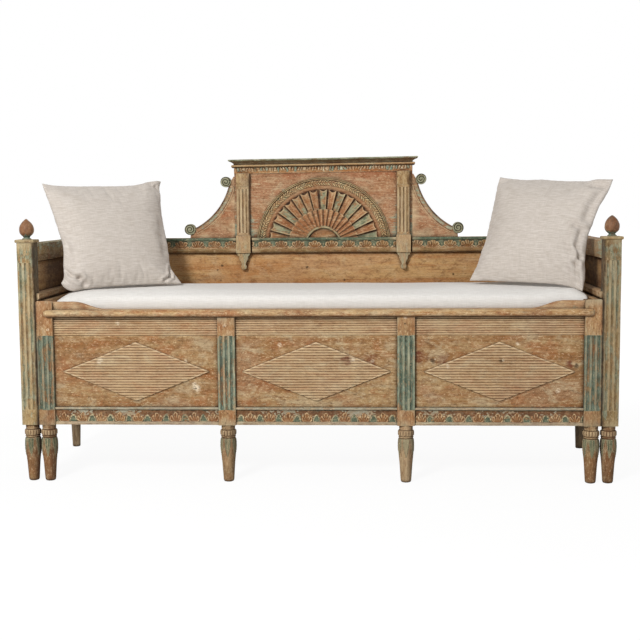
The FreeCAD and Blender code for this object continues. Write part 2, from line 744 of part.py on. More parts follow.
def front_bays():
    leaf_front, fillet_front = "board_front - leaf_rail_reach", "board_front - leaf_fillet_reach"
    band_top = "foot_height + leaf_rail_height"
    bay_rail("leaf_rail", [
        ("board_back", "foot_height"), ("board_back", "leaf_rail_top"),
        (fillet_front, "leaf_rail_top"), (fillet_front, band_top), (leaf_front, band_top),
        (leaf_front, "foot_height"),
    ])
    bay_rail("front_panel", rectangle("board_front", "board_back", "leaf_rail_top", "panel_top"))
    reeds = reeded_face("board_front", "panel_top", "frieze_top", "frieze_reed_count")
    bay_rail("reeded_rail", [("board_back", "panel_top"), ("board_back", "frieze_top")] + reeds)


def diamond(name, sign, half):
    """A lozenge of level reeds, planted on the panel of its bay."""
    body = sub_part("PartDesign::Body", f"diamond_{name}")
    reeds = reeded_face("reed_depth - diamond_thickness", "-diamond_tall", "diamond_tall",
                        "diamond_reed_count")
    section = [("0", "-diamond_tall"), ("0", "diamond_tall")] + reeds
    prism(body, "YZ", section, f"-{half}", half)
    for x, z in ((f"-{half}", "-diamond_tall"), (half, "-diamond_tall"),
                 (half, "diamond_tall"), (f"-{half}", "diamond_tall")):
        beyond = [(x, "0"), (f"2 * {x}", "0"), (f"2 * {x}", f"2 * {z}"), ("0", f"2 * {z}"), ("0", z)]
        prism(body, "XZ", beyond, "-diamond_thickness", "diamond_thickness", "Pocket")
    place(body, f"{sign} * diamond_offset", "board_front", "diamond_height")


def top_board():
    """The board behind the roll, with a raised ear at each end that swings down in an ogee."""
    body = sub_part("PartDesign::Body", "front_top_board")
    end, high, middle_height = "corner_post_inner", "roll_top + ear_rise", "roll_top + ear_rise / 2"
    ear = f"{end} - ear_length"
    middle, foot = f"{ear} - ear_slope_length / 2", f"{ear} - ear_slope_length"
    swing = "((ear_slope_length / 2) ^ 2 + (ear_rise / 2) ^ 2) / ear_rise"
    front_view = [
        (f"-{end}", "frieze_top"), (end, "frieze_top"), (end, high),
        (ear, high, "left", swing), (middle, middle_height, "right", swing), (foot, "roll_top"),
        (f"-({foot})", "roll_top", "right", swing), (f"-({middle})", middle_height, "left", swing),
        (f"-({ear})", high), (f"-{end}", high),
    ]
    prism(body, "XZ", front_view, "board_front", "board_back")


def roll():
    """The rounded seat edge: its nose runs on before the corner posts."""
    body = sub_part("PartDesign::Body", "roll_moulding")
    half, nose, post_face = "roll_height / 2", "post_front - roll_nose", "post_front - slide_gap"
    section = [
        ("board_front", "frieze_top"), ("board_front", "roll_top"),
        (f"{nose} + {half}", "roll_top", "left", half), (nose, f"frieze_top + {half}", "left", half),
        (f"{nose} + {half}", "frieze_top"),
    ]
    end = "corner_post_inner + roll_end_lap"
    prism(body, "YZ", section, f"-({end})", end)
    for sign in (-1, 1):
        left, right = on_side(sign, "corner_post_inner", "half_width")
        lap = rectangle(left, right, post_face, "board_back")
        prism(body, "XY", lap, "foot_height", "arm_top", "Pocket")


# Inside of the box

def slats(label, count, bottom, front, back_end):
    body = sub_part("PartDesign::Body", label)
    first = f"-slat_pitch * ({count} - 1) / 2"
    strip = rectangle(f"{first} - slat_width / 2", f"{first} + slat_width / 2", front, back_end)
    slat = prism(body, "XY", strip, bottom, f"{bottom} + slat_thickness")
    row_of(body, slat, "slat_pitch", count)


def lid_cleats():
    """Three battens that carry the lid: one on each side of the box and one behind its front."""
    cleats = []
    height = ("lid_rest - cleat_height", "lid_rest")
    side_length = ("box_post_back", "back_cleat_front - ledge_gap")
    for side, x, y in (
        ("left", on_side(-1, "cleat_inner", "box_side_inner"), side_length),
        ("right", on_side(1, "cleat_inner", "box_side_inner"), side_length),
        ("front", ("-cleat_inner", "cleat_inner"), ("box_post_back", "ledge_back")),
    ):
        batten = document.addObject("Part::Box", f"lid_cleat_{side}")
        size_box(batten, x, y, height)
        cleats.append(batten)
    sub_part("Part::Compound", "drawer_lid_cleats").Links = cleats


def box_inside():
    for side, sign in (("left", -1), ("right", 1)):
        board(f"drawer_side_{side}", on_side(sign, "box_side_inner", "box_half"),
              ("box_post_back", "box_side_back"), ("box_slat_rest", "box_side_top"))
    lid_cleats()
    board("drawer_ledge", ("-box_side_inner", "box_side_inner"), ("box_post_back", "ledge_back"),
          ("box_slat_rest - ledge_height", "box_slat_rest"))
    slats("drawer_slats", "(frame_slat_count - 1)", "box_slat_rest", "box_post_back", "box_side_back")
    board("front_stretcher", ("-arm_inner", "arm_inner"),
          ("stretcher_front", "stretcher_front + stretcher_width"),
          ("slat_rest - stretcher_height", "slat_rest"))
    slats("fixed_slats", "frame_slat_count", "slat_rest", "stretcher_front", "back_rail_front")


def lid():
    """Two loose planks that fill the box between its sides."""
    across, height = ("-lid_half", "lid_half"), ("lid_bottom", "lid_top")
    board("seat_lid_front", across, ("lid_front", "lid_seam"), height)
    board("seat_lid_back", across, ("lid_seam", "lid_back"), height)


# Cushions

def bowed_edge(start, end, sagitta, way):
    middle = (start + end) / 2 + way * sagitta
    return Part.Arc(start, middle, end).toShape()


def soft_piece(label, shape):
    feature = sub_part("Part::Feature", label)
    feature.Shape = shape
    return feature


def seat_cushion():
    """A mattress with a crowned top and rounded sides that sinks towards its ends."""
    half, bottom = number("cushion_half"), number("cushion_bottom")
    front, rear = number("lid_front + cushion_bulge"), number("lid_back - cushion_bulge")
    height, crown = number("cushion_height - cushion_crown"), number("cushion_crown")
    bulge = number("cushion_bulge")
    left_shares = [(-place_share, height_share) for place_share, height_share in SEAT_SECTION_SHARES[:0:-1]]
    sections = []
    for place_share, height_share in left_shares + SEAT_SECTION_SHARES:
        x, top = half * place_share, bottom + height * height_share
        low_front, low_back = V(x, front, bottom), V(x, rear, bottom)
        high_front, high_back = V(x, front, top), V(x, rear, top)
        sections.append(Part.Wire([
            Part.LineSegment(low_front, low_back).toShape(),
            bowed_edge(low_back, high_back, bulge, V(0, 1, 0)),
            bowed_edge(high_back, high_front, crown * height_share, V(0, 0, 1)),
            bowed_edge(high_front, low_front, bulge, V(0, -1, 0)),
        ]))
    return soft_piece("seat_cushion", Part.makeLoft(sections, True, False))


def pillow_half(facing):
    """One half of a scatter cushion: outlines of four arcs, with drawn in sides at the seam."""
    width, height, depth = number("pillow_width / 2"), number("pillow_height / 2"), number("pillow_depth / 2")
    sections = []
    for depth_share, size_share, pull_share in PILLOW_LEVEL_SHARES:
        x, z, level = width * size_share, height * size_share, facing * depth * depth_share
        corners = [V(x, level, z), V(-x, level, z), V(-x, level, -z), V(x, level, -z)]
        inward = number("pillow_drawn_in") * pull_share - x * PILLOW_ROUND_SHARE * (1 - pull_share)
        ways = (V(0, 0, -1), V(1, 0, 0), V(0, 0, 1), V(-1, 0, 0))
        sections.append(Part.Wire([
            bowed_edge(corner, corners[(index + 1) % len(corners)], inward, ways[index])
            for index, corner in enumerate(corners)
        ]))
    return Part.makeLoft(sections, True, False)


def settled(shape, seat, gap):
    """Lower a shape until it is a small gap above what it rests on."""
    for step in range(SETTLING_STEPS):
        shape.translate(V(0, 0, gap - shape.distToShape(seat)[0]))
    return shape


def pillow(side, sign, seat):
    """It stands on its lower edge in a corner, turned towards the middle and leaning back."""
    shape = pillow_half(-1).fuse(pillow_half(1)).removeSplitter().Solids[0]
    turn = FreeCAD.Rotation(V(0, 0, 1), -sign * number("pillow_turn"))
    lean = FreeCAD.Rotation(V(1, 0, 0), -number("pillow_lean"))
    roll_over = FreeCAD.Rotation(V(0, 1, 0), sign * number("pillow_roll"))
    across = f"arm_inner - {side}_pillow_gap - cos(pillow_turn) * (pillow_width / 2 - pillow_drawn_in)"
    back_from = "back_moulding_front - pillow_back_gap - sin(pillow_turn) * pillow_width / 2"
    spot = V(sign * number(across), number(back_from), number("arm_top + pillow_height / 2"))
    shape.Placement = FreeCAD.Placement(spot, turn.multiply(lean).multiply(roll_over))
    rest = settled(shape.copy(), seat, number("slide_gap")).Placement
    shape.Placement = FreeCAD.Placement()
    soft_piece(f"pillow_{side}", shape).Placement = rest


for side_name, side_sign in (("left", -1), ("right", 1)):
    frame_post(side_name, side_sign)
    finial(side_name, side_sign)
    rear_post(side_name, side_sign)
    arm(side_name, side_sign)
    pilaster(side_name, side_sign)
    box_corner_post(side_name, side_sign)
    box_mid_post(side_name, side_sign)
back()
crest()
sunburst()
scroll_brackets()
front_bays()
diamond("left", -1, "side_diamond_half")
diamond("centre", 0, "diamond_half")
diamond("right", 1, "side_diamond_half")
top_board()
roll()
box_inside()
lid()
mattress = seat_cushion()
pillow("left", -1, mattress.Shape)
pillow("right", 1, mattress.Shape)
document.recompute()

for thing in document.Objects:
    if "Invalid" in thing.State or "Error" in thing.State:
        raise RuntimeError(f"{thing.Label} did not compute: {thing.State}")
for thing in pieces:
    if thing.Shape.isNull() or not thing.Shape.isValid() or not thing.Shape.Solids:
        raise RuntimeError(f"{thing.Label} has no valid solid")

os.makedirs("parts", exist_ok=True)
for thing in pieces:
    thing.Shape.exportStep(f"parts/{thing.Label}.step")
    print(thing.Label, len(thing.Shape.Solids), round(thing.Shape.Volume / 1000), "cm3")
print(len(pieces), "pieces")
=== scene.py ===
import math
import bmesh
import bpy
from mathutils import Matrix, Vector, noise
from mathutils.bvhtree import BVHTree
from mathutils.geometry import intersect_point_line


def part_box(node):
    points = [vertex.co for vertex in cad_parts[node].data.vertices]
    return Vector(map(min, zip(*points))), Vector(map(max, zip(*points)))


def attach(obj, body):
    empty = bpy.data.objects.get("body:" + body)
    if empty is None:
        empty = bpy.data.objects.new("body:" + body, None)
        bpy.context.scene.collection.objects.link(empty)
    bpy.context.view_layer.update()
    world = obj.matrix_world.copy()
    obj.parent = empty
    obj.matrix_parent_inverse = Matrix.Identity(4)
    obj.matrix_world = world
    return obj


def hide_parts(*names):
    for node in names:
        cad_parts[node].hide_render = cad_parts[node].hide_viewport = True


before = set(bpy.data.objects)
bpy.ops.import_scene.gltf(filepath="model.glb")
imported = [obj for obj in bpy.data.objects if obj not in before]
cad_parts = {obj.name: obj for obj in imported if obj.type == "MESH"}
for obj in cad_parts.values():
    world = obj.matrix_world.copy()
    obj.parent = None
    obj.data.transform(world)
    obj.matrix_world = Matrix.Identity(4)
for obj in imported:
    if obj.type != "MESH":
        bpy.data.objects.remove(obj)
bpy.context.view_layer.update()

# The looks of a painted pull out bench bed. Shapes are worked in millimetres, in the frame of the
# CAD model, and brought to metres when a piece is finished.

noise.seed_set(7)   # the same unevenness in every run
MM = 0.001
# grime darkens: real grime in hollows, and painted shade in gaps, under edges and on sides turned from the
# light
# worn paints pale wear, and on the upper edges of the lozenges and the raised blade edges a painted highlight
LAYERS = ("paint", "tone", "worn", "grime")   # how green, how red, how rubbed and how dark, from 0 to 1

BENCH, BOX, LID = "bench_frame", "pull_out_box", "seat_lid"
SIDES = (("left", -1), ("right", 1))

# Middles of the posts to each side, and heights and faces that several pieces share
FRAME_POST, CORNER_POST, MID_POST, PILASTER = 933.5, 878, 288, 290
FOOT_TOP, PANEL_LOW, PANEL_TOP, FRIEZE_TOP, BACK_RAIL_TOP, CREST_TOP = 188, 246, 479, 540, 776, 1031
POST_FACE, BOX_POST_BACK, BOX_FACE, BOX_BACK, BACK_FACE, BACK_BEHIND = -285, -235, -273, -251, 255, 277
BAY_END, CREST_END = 850.5, 322


# Small geometry

def corners(node):
    """The box of a CAD node in millimetres."""
    low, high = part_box(node)
    return low / MM, high / MM


def soft_step(value, low, high):
    share = min(1.0, max(0.0, (value - low) / (high - low)))
    return share * share * (3 - 2 * share)


def dome(share):
    """The height of a half round at a share of its half width."""
    return math.sqrt(max(0.0, 1 - share * share))


def near_by(value, middle, close, far):
    """1 when a value is close to a middle one, and 0 far from it."""
    return 1 - soft_step(abs(value - middle), close, far)


def peak(value, middle, half, full=1):
    """1 at a middle value, and 0 from half its width on."""
    return soft_step(1 - abs(value - middle) / half, 0, full)


def uneven(x, y, z):
    """Smooth chance around 0 that belongs to a place."""
    return noise.noise(Vector((x, y, z)))


def blank():
    """An empty form that has the layers of the finishes."""
    form = bmesh.new()
    for layer in LAYERS:
        form.verts.layers.float.new(layer)
    return form


def joined(forms):
    whole = blank()
    for form in forms:
        mesh = bpy.data.meshes.new("part")
        form.to_mesh(mesh)
        form.free()
        whole.from_mesh(mesh)
        bpy.data.meshes.remove(mesh)
    return whole


def rounded(outline, radius):
    """An outline with each sharp corner eased by a small round of three points."""
    points = []
    for index, point in enumerate(outline):
        here = Vector(point)
        before, after = Vector(outline[index - 1]) - here, Vector(outline[(index + 1) % len(outline)]) - here
        if before.angle(after) > math.radians(150):
            points.append(tuple(here))
            continue
        cut = min(radius, 0.4 * before.length, 0.4 * after.length)
        first, last = here + before.normalized() * cut, here + after.normalized() * cut
        points += [tuple(first), tuple((first + last) / 4 + here / 2), tuple(last)]
    return points


def stops(low, high, step, *between):
    """Places from low to high, no further apart than step, with some fixed ones between."""
    fixed = sorted({low, high, *between})
    places = []
    for start, end in zip(fixed, fixed[1:]):
        count = max(1, math.ceil((end - start) / step))
        places += [start + (end - start) * index / count for index in range(count)]
    return places + [high]


def drawn(outline, axis, places):
    """A solid of one section, drawn out along an axis through a row of places."""
    form = blank()
    index = "xyz".index(axis)
    ring = []
    for first, second in outline:
        spot = [first, second]
        spot.insert(index, places[0])
        ring.append(form.verts.new(spot))
    edges = [form.edges.new((one, two)) for one, two in zip(ring, ring[1:] + ring[:1])]
    form.faces.new(ring)
    for place, following in zip(places, places[1:]):
        made = bmesh.ops.extrude_edge_only(form, edges=edges)["geom"]
        fresh = {item for item in made if isinstance(item, bmesh.types.BMVert)}
        edges = [item for item in made if isinstance(item, bmesh.types.BMEdge)
                 and item.verts[0] in fresh and item.verts[1] in fresh]
        way = Vector((0, 0, 0))
        way[index] = following - place
        bmesh.ops.translate(form, verts=list(fresh), vec=way)
    bmesh.ops.contextual_create(form, geom=edges)
    return form


def closed(form):
    """Fill what is open in a form."""
    open_edges = [item for item in form.edges if item.is_boundary]
    if open_edges:
        bmesh.ops.holes_fill(form, edges=open_edges, sides=0)
    return form


def cut_across(form, spot, way, drop=False):
    """Cut a form along a plane. The part that the plane faces can be dropped, and its cut is closed."""
    bmesh.ops.bisect_plane(form, geom=[*form.verts, *form.edges, *form.faces], dist=0.001,
                           plane_co=spot, plane_no=way, clear_outer=drop)
    return closed(form) if drop else form


def sliced(form, axis, places):
    """Cut a form across at each place, so that its flat faces have points to spare."""
    way = Vector([letter == axis for letter in "xyz"])
    for place in places:
        cut_across(form, way * place, way)
    return form


def turned(profile, steps, centre=(0, 0, 0), axis="z"):
    """A solid turned from (radius, height) points, about an upright axis or one towards the back."""
    form = blank()
    verts = [form.verts.new((radius, 0, height)) for radius, height in profile]
    edges = [form.edges.new(pair) for pair in zip(verts, verts[1:])]
    bmesh.ops.spin(form, geom=verts + edges, cent=(0, 0, 0), axis=(0, 0, 1), dvec=(0, 0, 0),
                   angle=2 * math.pi, steps=steps, use_merge=True, use_duplicate=False)
    bmesh.ops.remove_doubles(form, verts=form.verts, dist=0.005)
    if axis == "y":
        bmesh.ops.rotate(form, verts=form.verts, cent=(0, 0, 0), matrix=Matrix.Rotation(-math.pi / 2, 3, "X"))
    bmesh.ops.translate(form, verts=form.verts, vec=centre)
    return form


def plank(low, high, edge=1.6, step=45):
    """A board with eased edges, cut into short lengths so that it can be slightly uneven."""
    form = blank()
    size = Vector(high) - Vector(low)
    long_way = max(range(3), key=lambda index: size[index])
    made = bmesh.ops.create_cube(form, size=1)["verts"]
    for vert in made:
        vert.co = Vector(low) + Vector([size[index] * (vert.co[index] + 0.5) for index in range(3)])
    long_edges = [item for item in form.edges
                  if abs(item.verts[0].co[long_way] - item.verts[1].co[long_way]) > size[long_way] / 2]
    bmesh.ops.subdivide_edges(form, edges=long_edges, cuts=max(1, int(size[long_way] / step)),
                              use_grid_fill=True)
    sharp = [item for item in form.edges if item.calc_face_angle(0) > 1]
    bmesh.ops.bevel(form, geom=sharp, offset=min(edge, min(size) / 3), offset_type="OFFSET", segments=2,
                    profile=0.5, affect="EDGES", clamp_overlap=True, material=-1)
    return form


def relief(across, up, shape, back):
    """A carved face: a fine grid that shape() sets in place, closed by a flat back.

    shape(s, t) gives the point, and values for the layers, for shares s and t of the face.
    """
    form = blank()
    layers = [form.verts.layers.float[layer] for layer in LAYERS]
    bmesh.ops.create_grid(form, x_segments=across, y_segments=up, size=0.5)
    for vert in form.verts:
        spot, values = shape(vert.co.x + 0.5, vert.co.y + 0.5)
        vert.co = spot
        for layer, value in zip(layers, values):
            vert[layer] = value
    border = [item for item in form.edges if item.is_boundary]
    made = bmesh.ops.extrude_edge_only(form, edges=border)["geom"]
    rim = [item for item in made if isinstance(item, bmesh.types.BMVert)]
    for vert in rim:
        vert.co.y = back
    return closed(form)


def weathered(form, depth, size=70):
    """Move every point a little, the same way as its neighbours."""
    for vert in form.verts:
        vert.co += noise.noise_vector(vert.co / size) * depth


def mark_wear(form):
    """Give the outer edges of a piece their pale wear."""
    worn = form.verts.layers.float["worn"]
    form.normal_update()
    for vert in form.verts:
        fall = [-(item.other_vert(vert).co - vert.co).normalized().dot(vert.normal)
                for item in vert.link_edges if item.calc_length() > 0.01]
        patchy = 0.5 + 1.2 * noise.noise(vert.co / 35)
        vert[worn] = max(vert[worn], soft_step(max(fall, default=0), 0.24, 0.37) * min(1, max(0, patchy)))


def finished(name, form, finish, body, nodes=(), unevenness=0.5, sharp_angle=38):
    """Bring a form to metres as a piece that rides on its body and stands for its CAD nodes."""
    bmesh.ops.remove_doubles(form, verts=form.verts, dist=0.004)
    bmesh.ops.recalc_face_normals(form, faces=form.faces)
    mark_wear(form)
    weathered(form, unevenness)
    for face in form.faces:
        face.smooth = True
    for item in form.edges:
        item.smooth = item.calc_face_angle(0) < math.radians(sharp_angle)
    bmesh.ops.scale(form, verts=form.verts, vec=(MM, MM, MM))
    mesh = bpy.data.meshes.new(name)
    form.to_mesh(mesh)
    form.free()
    return placed(name, mesh, finish, body, nodes)


def placed(name, mesh, finish, body, nodes=()):
    thing = bpy.data.objects.new(name, mesh)
    bpy.context.scene.collection.objects.link(thing)
    mesh.materials.clear()
    mesh.materials.append(finish)
    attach(thing, body)
    if nodes:
        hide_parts(*nodes)
    return thing


def tint(form, **rules):
    """Set layers of a form, each from one value or from a rule on the place of each point."""
    for layer, rule in rules.items():
        field = form.verts.layers.float[layer]
        for vert in form.verts:
            vert[field] = rule(vert.co) if callable(rule) else rule


def deepen(form, layer, rule):
    """Raise a layer of a form to what a rule gives, where that is more."""
    field = form.verts.layers.float[layer]
    for vert in form.verts:
        vert[field] = max(vert[field], rule(vert.co))


# Shader maths

class Signal:
    """A number that varies over a surface. Sums on it add Math nodes."""

    def __init__(self, finish, socket):
        self.finish, self.socket = finish, socket

    def sum_of(self, operation, first, second):
        return Signal(self.finish, self.finish.node(
            "ShaderNodeMath", {"operation": operation}, {0: first, 1: second}).outputs[0])

    def __add__(self, other):
        return self.sum_of("ADD", self, other)

    def __radd__(self, other):
        return self.sum_of("ADD", other, self)

    def __sub__(self, other):
        return self.sum_of("SUBTRACT", self, other)

    def __rsub__(self, other):
        return self.sum_of("SUBTRACT", other, self)

    def __mul__(self, other):
        return self.sum_of("MULTIPLY", self, other)

    def __rmul__(self, other):
        return self.sum_of("MULTIPLY", other, self)

    def most(self, other):
        return self.sum_of("MAXIMUM", self, other)

    def between(self, low, high):
        """0 below low, 1 above high, and smooth between them."""
        return Signal(self.finish, self.finish.node(
            "ShaderNodeMapRange", {"interpolation_type": "SMOOTHSTEP", "clamp": True},
            {"Value": self, "From Min": low, "From Max": high}).outputs[0])


def shade(colour):
    """A colour given in the steps of a paint chart, as light."""
    return tuple(((step / 255 + 0.055) / 1.055) ** 2.4 for step in colour) + (1,)


class Finish:
    """A material or world under construction, with the patterns that the finishes share."""

    def __init__(self, owner):
        self.owner = owner
        owner.use_nodes = True
        self.tree = owner.node_tree
        self.tree.nodes.clear()
        self.place = self.node("ShaderNodeTexCoord", {}, {}).outputs["Object"]

    def node(self, kind, settings, inputs):
        made = self.tree.nodes.new(kind)
        for field, value in settings.items():
            setattr(made, field, value)
        for key, value in inputs.items():
            if isinstance(value, Signal):
                value = value.socket
            if isinstance(value, bpy.types.NodeSocket):
                self.tree.links.new(value, made.inputs[key])
            else:
                made.inputs[key].default_value = value
        return made

    def noise(self, scale, detail=3.0, rough=0.55, warp=0.0, shift=(0, 0, 0)):
        """Noise with its own scale on each axis, in cycles to a metre."""
        spread = self.node("ShaderNodeMapping", {}, {"Vector": self.place, "Scale": scale, "Location": shift})
        return Signal(self, self.node("ShaderNodeTexNoise", {}, {
            "Vector": spread.outputs[0], "Scale": 1.0, "Detail": detail, "Roughness": rough,
            "Distortion": warp}).outputs["Fac"])

    def layer(self, name):
        return Signal(self, self.node("ShaderNodeAttribute", {"attribute_name": name}, {}).outputs["Fac"])

    def mix(self, factor, first, second):
        made = self.node("ShaderNodeMix", {"data_type": "RGBA"}, {"Factor": factor})
        for key, value in ((6, first), (7, second)):
            if isinstance(value, bpy.types.NodeSocket):
                self.tree.links.new(value, made.inputs[key])
            else:
                made.inputs[key].default_value = value
        return made.outputs[2]

    def crevice(self, reach):
        """How deep in a corner a point lies, from 0 in the open to 1."""
        made = self.node("ShaderNodeAmbientOcclusion", {"samples": 6}, {"Distance": reach})
        return 1 - Signal(self, made.outputs["AO"])

    def near(self, x, y, z, reach):
        """1 close to a place and 0 beyond its reach, with a ragged edge."""
        gap = self.node("ShaderNodeVectorMath", {"operation": "DISTANCE"},
                        {0: self.place, 1: (x * MM, y * MM, z * MM)})
        ragged = Signal(self, gap.outputs["Value"]) + (self.noise((60, 60, 90), 3) - 0.5) * (reach * MM * 1.6)
        return 1 - ragged.between(reach * MM * 0.25, reach * MM)

    def done(self, colour, rough, bump_height, bump_depth, sheen=0.0):
        bump = self.node("ShaderNodeBump", {}, {
            "Height": bump_height, "Distance": bump_depth, "Strength": 1.0})
        shader = self.node("ShaderNodeBsdfPrincipled", {}, {
            "Base Color": colour, "Roughness": rough, "Normal": bump.outputs[0],
            "Specular IOR Level": 0.3, "Sheen Weight": sheen, "Sheen Roughness": 0.6})
        self.node("ShaderNodeOutputMaterial", {}, {"Surface": shader.outputs[0]})
        return self.owner

    def seen_plainly(self):
        """1 where the camera looks straight, or by way of metal or glass."""
        path = self.node("ShaderNodeLightPath", {}, {})
        camera, glossy, through = (Signal(self, path.outputs[f"Is {kind} Ray"])
                                   for kind in ("Camera", "Glossy", "Transmission"))
        return camera + glossy + through


RUBBED = (208, 184, 146)
PALE, DARK, BROWN, RED = shade(RUBBED), shade((50, 32, 20)), shade((106, 68, 40)), shade((150, 84, 50))
RUST, ASHEN = shade((156, 96, 54)), shade((178, 162, 130))
FRESH, STAINED = shade((218, 200, 172)), shade((104, 56, 36))


def grained(scale_along, scale_across, axis):
    """A texture scale that runs with the grain along one axis."""
    return tuple(scale_along if letter == axis else scale_across for letter in "xyz")


def old_wood(name, axis, light, deep, patch, paint=((58, 100, 88), (116, 140, 122)), hold=-0.35,
             pale=0.5, dirt_and_shade=0.9, rub_and_highlight=RUBBED, scars=(), gloss=0.0, clouded=1.0):
    """Worn, once painted wood. Its grain runs along an axis; green paint holds on where the layer says."""
    wood = Finish(bpy.data.materials.new(name))
    light, deep, patch, rub_and_highlight, *paint = [shade(colour) for colour in (light, deep, patch, rub_and_highlight, *paint)]
    bands = wood.noise(grained(1.6, 26, axis), 4, 0.6, 0.6)
    streaks = wood.noise(grained(9, 330, axis), 3, 0.65)
    patches = wood.noise(grained(5, 9, axis), 5, 0.62, 0.4, (3.1, 7.7, 1.3))
    mottle = wood.noise(grained(36, 66, axis), 5, 0.7, 0.4, (5.2, 1.4, 3.7))
    flecks = wood.noise(grained(110, 230, axis), 4, 0.72, 0.0, (9.1, 2.2, 5.4))
    blots = wood.noise((34, 34, 34), 4, 0.6, 0.5, (1.7, 4.2, 8.8))
    scuffs = wood.noise(grained(13, 110, axis), 5, 0.75, 0.8, (6.6, 3.3, 2.1))
    clouds = wood.noise(grained(12, 21, axis), 4, 0.66, 0.7, (7.7, 2.9, 5.1))
    corner = wood.crevice(0.018)
    colour = wood.mix(bands.between(0.38, 0.62), light, deep)
    colour = wood.mix(patches.between(0.46, 0.62) * 0.8, colour, patch)
    colour = wood.mix(clouds.between(0.51, 0.64) * (0.5 * clouded), colour, RUST)
    colour = wood.mix((1 - clouds).between(0.52, 0.66) * (0.55 * clouded), colour, ASHEN)
    colour = wood.mix(wood.layer("tone") * (0.5 + 0.6 * blots), colour, RED)
    colour = wood.mix(mottle.between(0.49, 0.66) * 0.5, colour, BROWN)
    colour = wood.mix((1 - mottle).between(0.51, 0.67) * 0.55 * pale, colour, PALE)
    colour = wood.mix((1 - streaks).between(0.46, 0.72) * 0.45, colour, BROWN)
    held = wood.layer("paint") + hold + (scuffs - 0.5) * 1.9 + (blots - 0.5) * 1.1 + corner * 0.3
    painted = held.between(0.02, 0.24)
    colour = wood.mix(painted * 0.9, colour, wood.mix((mottle * 0.5 + blots * 0.5).between(0.4, 0.6), *paint))
    colour = wood.mix(scuffs.between(0.54, 0.7) * pale, colour, PALE)
    colour = wood.mix(flecks.between(0.56, 0.66) * (1.15 * pale), colour, PALE)
    colour = wood.mix((1 - flecks).between(0.55, 0.68) * 0.6, colour, DARK)
    # Pale where the worn layer says: wear, and in places a painted highlight
    rubbed = wood.layer("worn") * (0.3 + scuffs.between(0.3, 0.55) * 0.7)
    colour = wood.mix(rubbed * 0.8, colour, rub_and_highlight)
    for x, y, z, reach, kind in scars:
        spot = wood.near(x, y, z, reach)
        if kind == "chipped":
            colour = wood.mix(spot * flecks.between(0.36, 0.56) * 0.9, colour, FRESH)
        if kind == "broken":
            colour = wood.mix(spot * (0.3 + flecks.between(0.38, 0.54) * 0.7), colour, FRESH)
            colour = wood.mix(spot.between(0.5, 0.8) * (1 - flecks).between(0.5, 0.56), colour, DARK)
        if kind == "stain":
            colour = wood.mix(spot * (0.35 + mottle.between(0.4, 0.6) * 0.6), colour, STAINED)
        if kind == "knot":
            colour = wood.mix(spot * 0.8, colour, DARK)
    # Dirt and painted shade: dark where the grime layer says, and in corners by their ambient occlusion
    sunk = wood.layer("grime") * (0.62 + mottle.between(0.35, 0.6) * 0.38)
    colour = wood.mix(sunk.most(corner.between(0.16, 0.7)) * dirt_and_shade, colour, DARK)
    rough = 0.76 + flecks * 0.2 - gloss
    height = streaks * 0.3 + flecks * 0.35 + painted * 0.3 + scuffs * 0.3 + mottle * 0.25
    return wood.done(colour, rough, height, 0.0013)


TAN, ORANGE, PINK = (161, 131, 90), (140, 99, 58), (152, 115, 82)
STRAW, OLIVE, UMBER = (164, 138, 94), (126, 106, 68), (112, 76, 44)
SALMON, BRICK, ROSE = (172, 134, 102), (160, 114, 82), (168, 142, 108)
TEAL = ((48, 88, 76), (116, 138, 122))
GREY_GREEN = ((84, 100, 80), (150, 154, 130))

# Knocks and holes that show in the front, as x, y, z, reach and kind
FRONT_SCARS = [
    (-389, -273, 311, 19, "broken"), (-421, -276, 396, 7, "chipped"), (-116, -273, 449, 10, "chipped"),
    (-96, -273, 487, 8, "chipped"), (182, -273, 396, 9, "broken"), (505, -273, 330, 9, "chipped"),
    (640, -273, 452, 8, "chipped"), (770, -273, 300, 10, "chipped"), (330, -273, 408, 30, "stain"),
    (404, -273, 398, 26, "stain"), (374, -273, 396, 13, "knot"), (380, -273, 401, 5, "chipped"),
    (176, -273, 398, 30, "stain"), (806, -273, 386, 20, "stain"), (826, -273, 380, 11, "knot"),
]
REED_SCARS = [
    (-701, -278, 396, 15, "chipped"), (117, -278, 402, 14, "chipped"), (420, -278, 380, 9, "chipped"),
    (-640, -275, 520, 10, "chipped"), (588, -278, 398, 10, "knot"), (596, -278, 400, 6, "chipped"),
    (96, -278, 400, 22, "stain"),
]
POST_SCARS = [(-291, -285, 513, 8, "chipped"), (-286, -285, 227, 4, "knot"), (-293, -286, 508, 3.5, "knot"),
              (-865, -285, 499, 6, "chipped"), (284, -285, 517, 4, "knot"), (286, -285, 536, 8, "chipped")]
KNOTS = [(-372, 260, 674, 6, "knot"), (-389, 260, 659, 4, "knot"), (-377, 260, 622, 5, "knot"),
         (-62, 260, 667, 8, "knot"), (76, 260, 621, 6, "knot"), (470, 260, 640, 5, "knot")]

